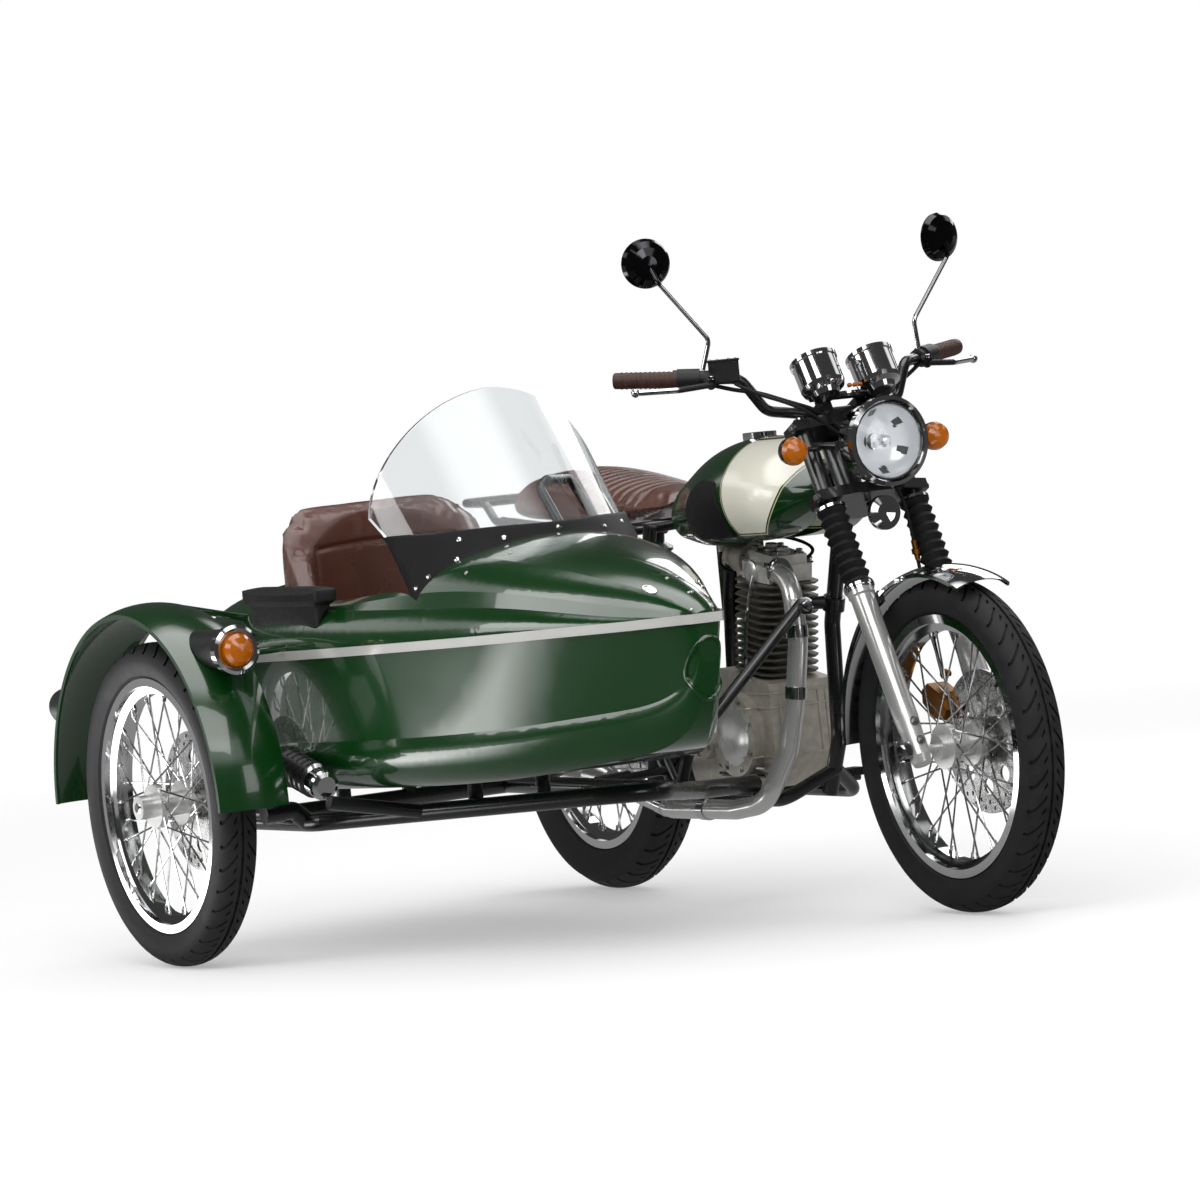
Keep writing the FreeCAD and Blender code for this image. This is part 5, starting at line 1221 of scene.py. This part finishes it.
# --- engine
@dataclass
class EngineTrim:
    """Cover screws, head nuts, lines, cast seams, plug and the exhaust's joints."""

    foot_y: float = 665.0
    foot_z: float = 461.4
    lean: float = 10.0

    def spot(self, x: float, y: float, z: float) -> Vector:
        """Point from the cylinder's foot, along its own leaning axes."""
        lean = math.radians(self.lean)
        return at(x, self.foot_y + y * math.cos(lean) - z * math.sin(lean),
                  self.foot_z + y * math.sin(lean) + z * math.cos(lean))

    def build(self) -> None:
        """Make the engine's small parts."""
        up = (self.spot(0, 0, 1) - self.spot(0, 0, 0)).normalized()
        screws, domes = [], []
        for side in (1, -1):
            for y, z, radius, height, count in ((690, 345, 84, 26, 8), (838, 352, 60, 18, 6)):
                face = at(side * (75 + height), y, z)
                screws += Hardware.ring(face, X * side, radius - 10, count, 0.3)
                inner = radius - 22
                domes.append(Bench.lathe([(0, 7), (inner * 0.5, 6.4), (inner * 0.85, 4), (inner, 0.4),
                                          (inner, -1), (0, -1)], face, X * side, 48))
        Hardware.bolts("cover_screws", 8, screws, STEEL, "chassis", "alloy")
        add_piece("cover_domes", domes, POLISHED, "chassis", "alloy")
        studs = [stand(self.spot(x, y, 228), up) for x in (-48, 48) for y in (-44, 48)]
        studs += [stand(self.spot(x, y, 248), up) for x in (-30, 30) for y in (-38, 34)]
        Hardware.bolts("head_nuts", 12, studs, CHROME, "chassis", "chrome")
        caps = [Bench.lathe([(0, -1), (17, -1), (17, 4), (13, 7), (12, 13), (0, 14)],
                            self.spot(0, y, 248), up, 24) for y in (-22, 20)]
        side_cap = [(0, -1), (24, -1), (24, 4), (17, 8), (0, 9)]
        caps.append(Bench.lathe(side_cap, self.spot(-56, 4, 211), -X, 32))
        add_piece("head_caps", caps, POLISHED, "chassis", "alloy")
        oil = [at(-76, 640, 452), at(-90, 632, 480), at(-88, 626, 540), at(-78, 618, 620),
               self.spot(-57, -10, 214)]
        add_piece("oil_line", [Bench.run(oil, 4.0)], CHROME, "chassis", "chrome")
        tubes = [[at(-84, 600, z), at(-88, 640, z + 1), at(-88, 740, z + 2), at(-84, 780, z + 2)]
                 for z in (262, 279)]
        add_piece("case_tubes", [Bench.run(tube, 5) for tube in tubes], CHROME, "chassis", "chrome")
        lead = Bench.run([self.spot(66, 0, 226), self.spot(92, 0, 236), at(84, 640, 715), at(50, 700, 735),
                          at(18, 740, 738)], 3.6)
        add_piece("plug_lead", [lead], RUBBER, "chassis", "black_rubber")
        plug = Bench.lathe([(0, 0), (7, 0), (8, 6), (7, 30), (5, 34), (0, 34)], self.spot(52, 0, 212),
                           Vector((1, 0, 0.55)), 16)
        add_piece("plug_cap", [plug], RUBBER, "chassis", "black_rubber")
        self.fuel_line()
        self.exhaust_joints()
        self.case_beads()

    @staticmethod
    def case_beads() -> None:
        """Cast seams round the front of the crankcase, and ribs down it."""
        lines = []
        for level, radius in ((300, 2.6), (398, 3.0), (426, 2.2)):
            turns = map(math.radians, range(-150, -29, 4))
            ways = [Vector((math.cos(turn), math.sin(turn), 0)) for turn in turns]
            hits = [strike("engine_cases", at(400 * way.x, 720 + 400 * way.y, level), -way) for way in ways]
            lines.append((hits, radius))
        for x in (-54, -36, 36, 54):
            lines.append(([strike("engine_cases", at(x, 300, z), Y) for z in range(296, 431, 9)], 3.0))
        beads = []
        for hits, radius in lines:
            hits = [hit for hit in hits if hit and (hit - ORIGIN).y < 0.7]
            beads.append(Bench.run(hits, radius, 8, 2))
        add_piece("case_beads", beads, CAST, "chassis", "alloy")

    def fuel_line(self) -> None:
        """Fuel tap under the tank and its hose to the carburettor."""
        tap = Bench.lathe([(0, 0), (9, 0), (9, 12), (6, 13), (6, 22), (0, 22)], at(-48, 760, 733), -Z, 18)
        add_piece("fuel_tap", [tap], CAST, "chassis", "alloy")
        hose = Bench.run([at(-48, 760, 712), at(-52, 764, 694), at(-44, 768, 678), at(-24, 766, 668)], 3.6)
        add_piece("fuel_hose", [hose], RUBBER, "chassis", "black_rubber")

    def exhaust_joints(self) -> None:
        """Flange at the port and the clamps along the pipe."""
        front = (self.spot(0, -1, 0) - self.spot(0, 0, 0)).normalized()
        flange = [(0, 0), (27, 0), (27, 7), (23, 9), (21, 9), (0, 9)]
        joints = [Bench.lathe(flange, self.spot(-30, -54.5, 220), front, 36)]
        section = [(19.5, -13), (22.5, -12), (22.5, 12), (19.5, 13)]
        for centre, way in ((at(-50.4, 487, 548), Vector((-0.04, -0.1, -1))),
                            (at(-61, 494, 428), Vector((-0.1, 0.07, -1))),
                            (at(-136, 760, 198.4), Y), (at(-138, 930, 204), Vector((-0.06, 0.97, 0.24)))):
            joints.append(Bench.lathe(section, centre, way, 36, True))
        add_piece("exhaust_joints", joints, CHROME, "chassis", "chrome")
        nuts = [stand(self.spot(-30 + x, -61, 220), front) for x in (-22, 22)]
        Hardware.bolts("flange_nuts", 10, nuts, STEEL, "chassis", "alloy")


# --- rear end
@dataclass
class ChainTrim:
    """Link plates on both sides of the plain chain band."""

    x: float = 67.0
    front: tuple[float, float] = (935.0, 335.0)
    rear: tuple[float, float] = (1400.0, 328.0)
    radius: float = 100.0
    front_r: float = 38.0
    pitch: float = 15.875

    def path(self) -> list[tuple[Vector, Vector]]:
        """Places and directions of the pins along the chain, in the bike frame."""
        y, z = self.rear
        rise = math.asin((self.radius - self.front_r) / (y - self.front[0]))
        upper = Vector((0, y - self.radius * math.sin(rise), z + self.radius * math.cos(rise)))
        length = (upper.y - self.front[0]) / math.cos(rise)
        places = []
        straight = int((length - 6) // self.pitch)
        for sign in (1, -1):
            way = Vector((0, -math.cos(rise), -math.sin(rise) * sign))
            start = Vector((0, upper.y, z + (upper.z - z) * sign))
            places += [(start + way * self.pitch * (i + 0.5), way) for i in range(straight)]
        sweep = math.pi + 2 * rise
        count = round(sweep * self.radius / self.pitch)
        for i in range(count):
            angle = math.pi / 2 + rise - sweep * (i + 0.5) / count
            spot = Vector((0, y + self.radius * math.cos(angle), z + self.radius * math.sin(angle)))
            places.append((spot, Vector((0, math.sin(angle), -math.cos(angle)))))
        return places

    def build(self) -> None:
        """One plate, repeated along the chain on both faces."""
        Bench.clear()
        bpy.ops.mesh.primitive_cylinder_add(vertices=12, radius=5.2 * MM, depth=1.4 * MM)
        plate = bpy.context.object
        with Bench.editing(plate):
            Bench.pick(plate, lambda v: v.co.x > 1e-6, "verts")
            bpy.ops.transform.translate(value=(3.2 * MM, 0, 0))
            Bench.pick(plate, lambda v: v.co.x < -1e-6, "verts")
            bpy.ops.transform.translate(value=(-3.2 * MM, 0, 0))
        places = []
        for index, (spot, way) in enumerate(self.path()):
            for side in (1, -1):
                turn = Matrix((way, (X * side).cross(way), X * side)).transposed().to_4x4()
                reach = 4.2 if index % 2 else 3.4
                places.append(Matrix.Translation(at(self.x + side * reach, spot.y, spot.z)) @ turn)
        repeat("chain_links", plate, places, STEEL, "chassis", "chain_steel", 30)


@dataclass
class RearTrim:
    """Bolts of the rear dampers."""

    damper_x: float = 135.0

    def build(self) -> None:
        """Make the small parts behind the seat."""
        spots = [stand(at(side * (self.damper_x + 14), y, z), X * side)
                 for side in (1, -1) for y, z in ((1330, 640), (1390, 348))]
        Hardware.bolts("damper_bolts", 17, spots, CHROME, "chassis", "chrome")


# --- sidecar
@dataclass
class SidecarTrim:
    """Studs, screws, badges, nose ring, strut bolts and axle cap of the sidecar."""

    centre: float = SIDECAR_X

    @staticmethod
    def seat_on(node: str, point: Point) -> Matrix:
        """Stand of a small part on the nearest place of a CAD node's surface."""
        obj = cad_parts[node]
        _, spot, normal, _ = obj.closest_point_on_mesh(obj.matrix_world.inverted() @ at(*point))
        return stand(obj.matrix_world @ spot, obj.matrix_world.to_3x3() @ normal)

    def both(self, node: str, points: Sequence[Point]) -> list[Matrix]:
        """Stands of small parts at points and at their mirror images across the body."""
        mirrored = [(2 * self.centre - x, y, z) for x, y, z in points]
        return [self.seat_on(node, point) for point in [*points, *mirrored]]

    def build(self) -> None:
        """Make the body's small parts."""
        rim = [(-902, 456, 722), (-882, 436, 742), (-839, 396, 771), (-824, 409, 808), (-755, 356, 804)]
        studs = [*self.both("cowl_coaming", rim), self.seat_on("cowl_coaming", (self.centre, 336, 814))]
        repeat("coaming_studs", Hardware.stud(5.6, 3.6), studs, CHROME, "chassis", "chrome")
        places = [(-857, 331, 747), (-786, 279, 777), (-656, -84, 713), (-642, -147, 685),
                  (-622, -185, 655)]
        screws = self.both("sidecar_deck", places)
        repeat("deck_screws", Hardware.stud(4.2, 2.2), screws, STEEL, "chassis", "chrome")
        self.medallions()
        self.nose_ring()
        self.clamps()
        self.wheel_cap()

    def medallions(self) -> None:
        """Bare oval badge on each side of the deck."""
        made = []
        profile = [(0, 1.8), (12, 1.6), (16, 1.2), (16.5, 2.6), (18, 2.6), (19, 0.8), (19, -2), (0, -2)]
        for place in self.both("sidecar_deck", [(-698.5, -90.9, 695.1)]):
            badge = Bench.lathe(profile, Vector(), Z, 40)
            with Bench.editing(badge):
                bpy.ops.transform.resize(value=(1, 0.42, 1))
            way = place.to_3x3() @ Z
            along = (Y - way * Y.dot(way)).normalized()
            turn = Matrix((along, way.cross(along), way)).transposed().to_4x4()
            badge.data.transform(Matrix.Translation(place.translation) @ turn)
            made.append(badge)
        add_piece("deck_medallions", made, CHROME, "chassis", "chrome")

    def nose_ring(self) -> None:
        """Raised oval moulding that follows the nose of the hull."""
        turns = [2 * math.pi * i / 40 for i in range(40)]
        starts = [at(self.centre + 34 * math.cos(turn), -420, 545 + 58 * math.sin(turn)) for turn in turns]
        points = [point for point in (strike("sidecar_hull", start, Y) for start in starts) if point]
        ring = Bench.run([*points, points[0]], 4.6, 12, 3)
        add_piece("nose_ring", [ring], PAINT, "chassis", "green_paint")

    def clamps(self) -> None:
        """Bolts of the two struts that hold the sidecar."""
        spots = [stand(at(-60, 429.5, 601), Vector((-0.15, -1, 0))),
                 stand(at(-322, 465, 352), Vector((-0.3, -1, 0)))]
        Hardware.bolts("strut_bolts", 20, spots, CHROME, "chassis", "chrome")

    def wheel_cap(self) -> None:
        """Domed cap on the outer end of the sidecar's axle."""
        profile = [(0, 19), (9, 17.5), (16, 12), (18, 6), (18, -4), (0, -4)]
        cap = Bench.lathe(profile, middle("sidecar_tyre") - X * 55 * MM, -X, 36)
        add_piece("axle_cap", [cap], CHROME, "chassis", "chrome")


@dataclass
class BucketBack(Pad):
    """Back of the sidecar's seat: a stuffed tub with a sewn inner panel under a thick roll."""

    centre: float = SIDECAR_X
    panel: float = 158.0
    panel_top: float = 800.0
    fold: float = 640.0
    sewn: float = 5.0

    def seam(self, place: Vector, normal: Vector) -> float:
        """Depth of the panel's outline and its fold at a place."""
        side = abs(place.x - self.centre)
        facing = min(1.0, max(0.0, -normal.y - 0.15) * 3)
        outline = groove(side - self.panel, 5) * (place.z < self.panel_top + 3)
        crest = groove(place.z - self.panel_top + (side / 60) ** 2, 5) * (side < self.panel + 3)
        across = groove(place.z - self.fold - side * 0.03, 5) * (side < self.panel)
        return self.sewn * max(outline, crest, across) * facing


@dataclass
class Armrest(Pad):
    """Arm pad that overhangs its narrower foot."""

    centre: tuple[float, float] = (-958.0, 890.0)
    level: float = 707.0

    def stuffed(self) -> Object:
        """The swollen pad, drawn in under its edge."""
        obj = super().stuffed()
        for vert in obj.data.vertices:
            x, y, z = (vert.co - ORIGIN) / MM
            share = min(1.0, max(0.0, (self.level - z) / 8))
            vert.co = at(x - (x - self.centre[0]) * 0.3 * share, y - (y - self.centre[1]) * 0.12 * share, z)
        return obj


@dataclass
class SewnCushion(Pad):
    """The sidecar's seat cushion, with a sewn line round its top and two across."""

    centre: float = SIDECAR_X
    inset: float = 38.0
    sewn: float = 4.0

    @cached_property
    def corners(self) -> tuple[Vector, Vector]:
        """Corners of the plain cushion's box, in the bike frame in millimetres."""
        low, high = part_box(self.node)
        return (low - ORIGIN) / MM, (high - ORIGIN) / MM

    def seam(self, place: Vector, normal: Vector) -> float:
        """Depth of the seams at a place."""
        low, high = self.corners
        side = groove(abs(place.x - self.centre) - ((high.x - low.x) / 2 - self.inset), 5)
        front = groove(place.y - (low.y + self.inset), 5)
        cross = groove(place.y - (low.y + high.y) / 2, 5)
        return self.sewn * max(side, front, cross) * (normal.z > 0.5)


# --- dressing
class Dressing:
    """Finishes of the CAD nodes that stay in view."""

    PLAIN = {
        CHROME: "front_rim rear_rim sidecar_rim front_fender rear_fender tank_cap horn",
        DISC: "front_disc sidecar_disc",
        BLACK: "fork_crown handlebar main_frame rear_swingarm luggage_rack grab_handle "
               "sidecar_chassis sidecar_arm",
        PAINT: "side_covers sidecar_hull sidecar_deck sidecar_mudguard",
        BROWN_HIDE: "sidecar_seat_cushion sidecar_seat_back bike_seat",
        RUBBER: "fork_gaiters knee_pads", CAST: "engine_cases carburettor",
        POLISHED: "fork_sliders", GRIP_RUBBER: "grips", GOLD: "front_caliper", PIPE: "exhaust",
        STEEL: "drive_chain", TANK_PAINT: "fuel_tank", TRIM: "waist_trim", CLEAR: "windscreen",
        BLACK_HIDE: "cowl_coaming", MOULDING: "armrest_pad", LENS: "headlamp_lens",
    }

    @classmethod
    def build(cls) -> None:
        """Dress every node, some of them part by part."""
        for finish, nodes in cls.PLAIN.items():
            for node in nodes.split():
                dress(node, finish)
        for hub in ("front_hub", "rear_hub", "sidecar_hub"):
            centre = (middle(hub) - ORIGIN) / MM
            dress(hub, SPOKE, (POLISHED, lambda c, n, m=centre: math.hypot(c.y - m.y, c.z - m.z) < 50))
        # the barrel below the head takes the darker alloy as painted shade between the fins; the head takes
        # the plain alloy
        dress("engine_cylinder", SHADED_FIN_ALLOY,
              (HEAD_ALLOY, lambda c, n: (c.y - 665) * -0.17 + (c.z - 461.4) * 0.985 > 193))
        dress("hand_controls", CHROME, (MOULDING, lambda c, n: abs(c.x) < 320))
        dress("mirrors", CHROME,
              # the mirror heads take chrome painted dark, a painted reflection of the dark room
              (CHROME_PAINTED_DARK, lambda c, n: math.dist((abs(c.x), c.y, c.z), (338, 446, 1301)) < 62),
              (MIRROR, lambda c, n: n.y > 0.9 and c.z > 1240))
        dress("instruments", CHROME, (BLACK, lambda c, n: c.z < 1013))
        dress("headlamp", CHROME, (BLACK, lambda c, n: math.hypot(c.x, c.z - 915) > 89))
        dress("rear_dampers", BLACK, (CHROME, lambda c, n: c.z < 560))
        dress("sidecar_spring_unit", BLACK, (CHROME, lambda c, n: c.y < 700))
        lamp, glass = Vector((-1160, 633)), 33.5
        dress("sidecar_lamps", MOULDING,
              (CHROME, lambda c, n: c.y < 752 and (c.xz - lamp).length > glass),
              (AMBER, lambda c, n: c.y < 733 and (c.xz - lamp).length <= glass),
              (RED, lambda c, n: c.y > 1490 and n.y > 0.3))
        dress("front_indicators", BLACK, (AMBER, lambda c, n: c.y < 246))
        dress("rear_lamps", CHROME, (RED, lambda c, n: n.y > 0.5))


def main() -> None:
    """Build every sub-assembly in order."""
    logging.basicConfig(level=logging.INFO, format="%(name)s: %(message)s")
    Studio().build()
    Dressing.build()
    for node, body, radius, bead, half in (
        ("front_tyre", "front_wheel", 324, 255.8, 44.0), ("rear_tyre", "rear_wheel", 328, 242.5, 49.5),
        ("sidecar_tyre", "sidecar_wheel", 324, 255.8, 44.0),
    ):
        TreadedTyre(node, body, radius, bead, half).build()
    for trim in (
        WheelTrim("front", "front_wheel", "fork", 222.3, (117.3, -117.3), 60.0),
        WheelTrim("rear", "rear_wheel", "chassis", 209.0, (103.3, -103.3), 0.0),
        WheelTrim("sidecar", "sidecar_wheel", "chassis", 222.3, (), 60.0),
        ForkTrim(), Headlamp(), Instruments(), BarTrim(),
        EngineTrim(), ChainTrim(), RearTrim(), SidecarTrim(),
        RibbedSeat("bike_seat", BROWN_HIDE),
        BucketBack("sidecar_seat_back", BROWN_HIDE),
        SewnCushion("sidecar_seat_cushion", BROWN_HIDE),
        Pad("cowl_coaming", BLACK_HIDE, swell=4, start=2, voxel=4.5),
        Armrest("armrest_pad", MOULDING, swell=4, start=2, voxel=4.5, slot="black_rubber"),
    ):
        trim.build()


if __name__ == "__main__":
    main()
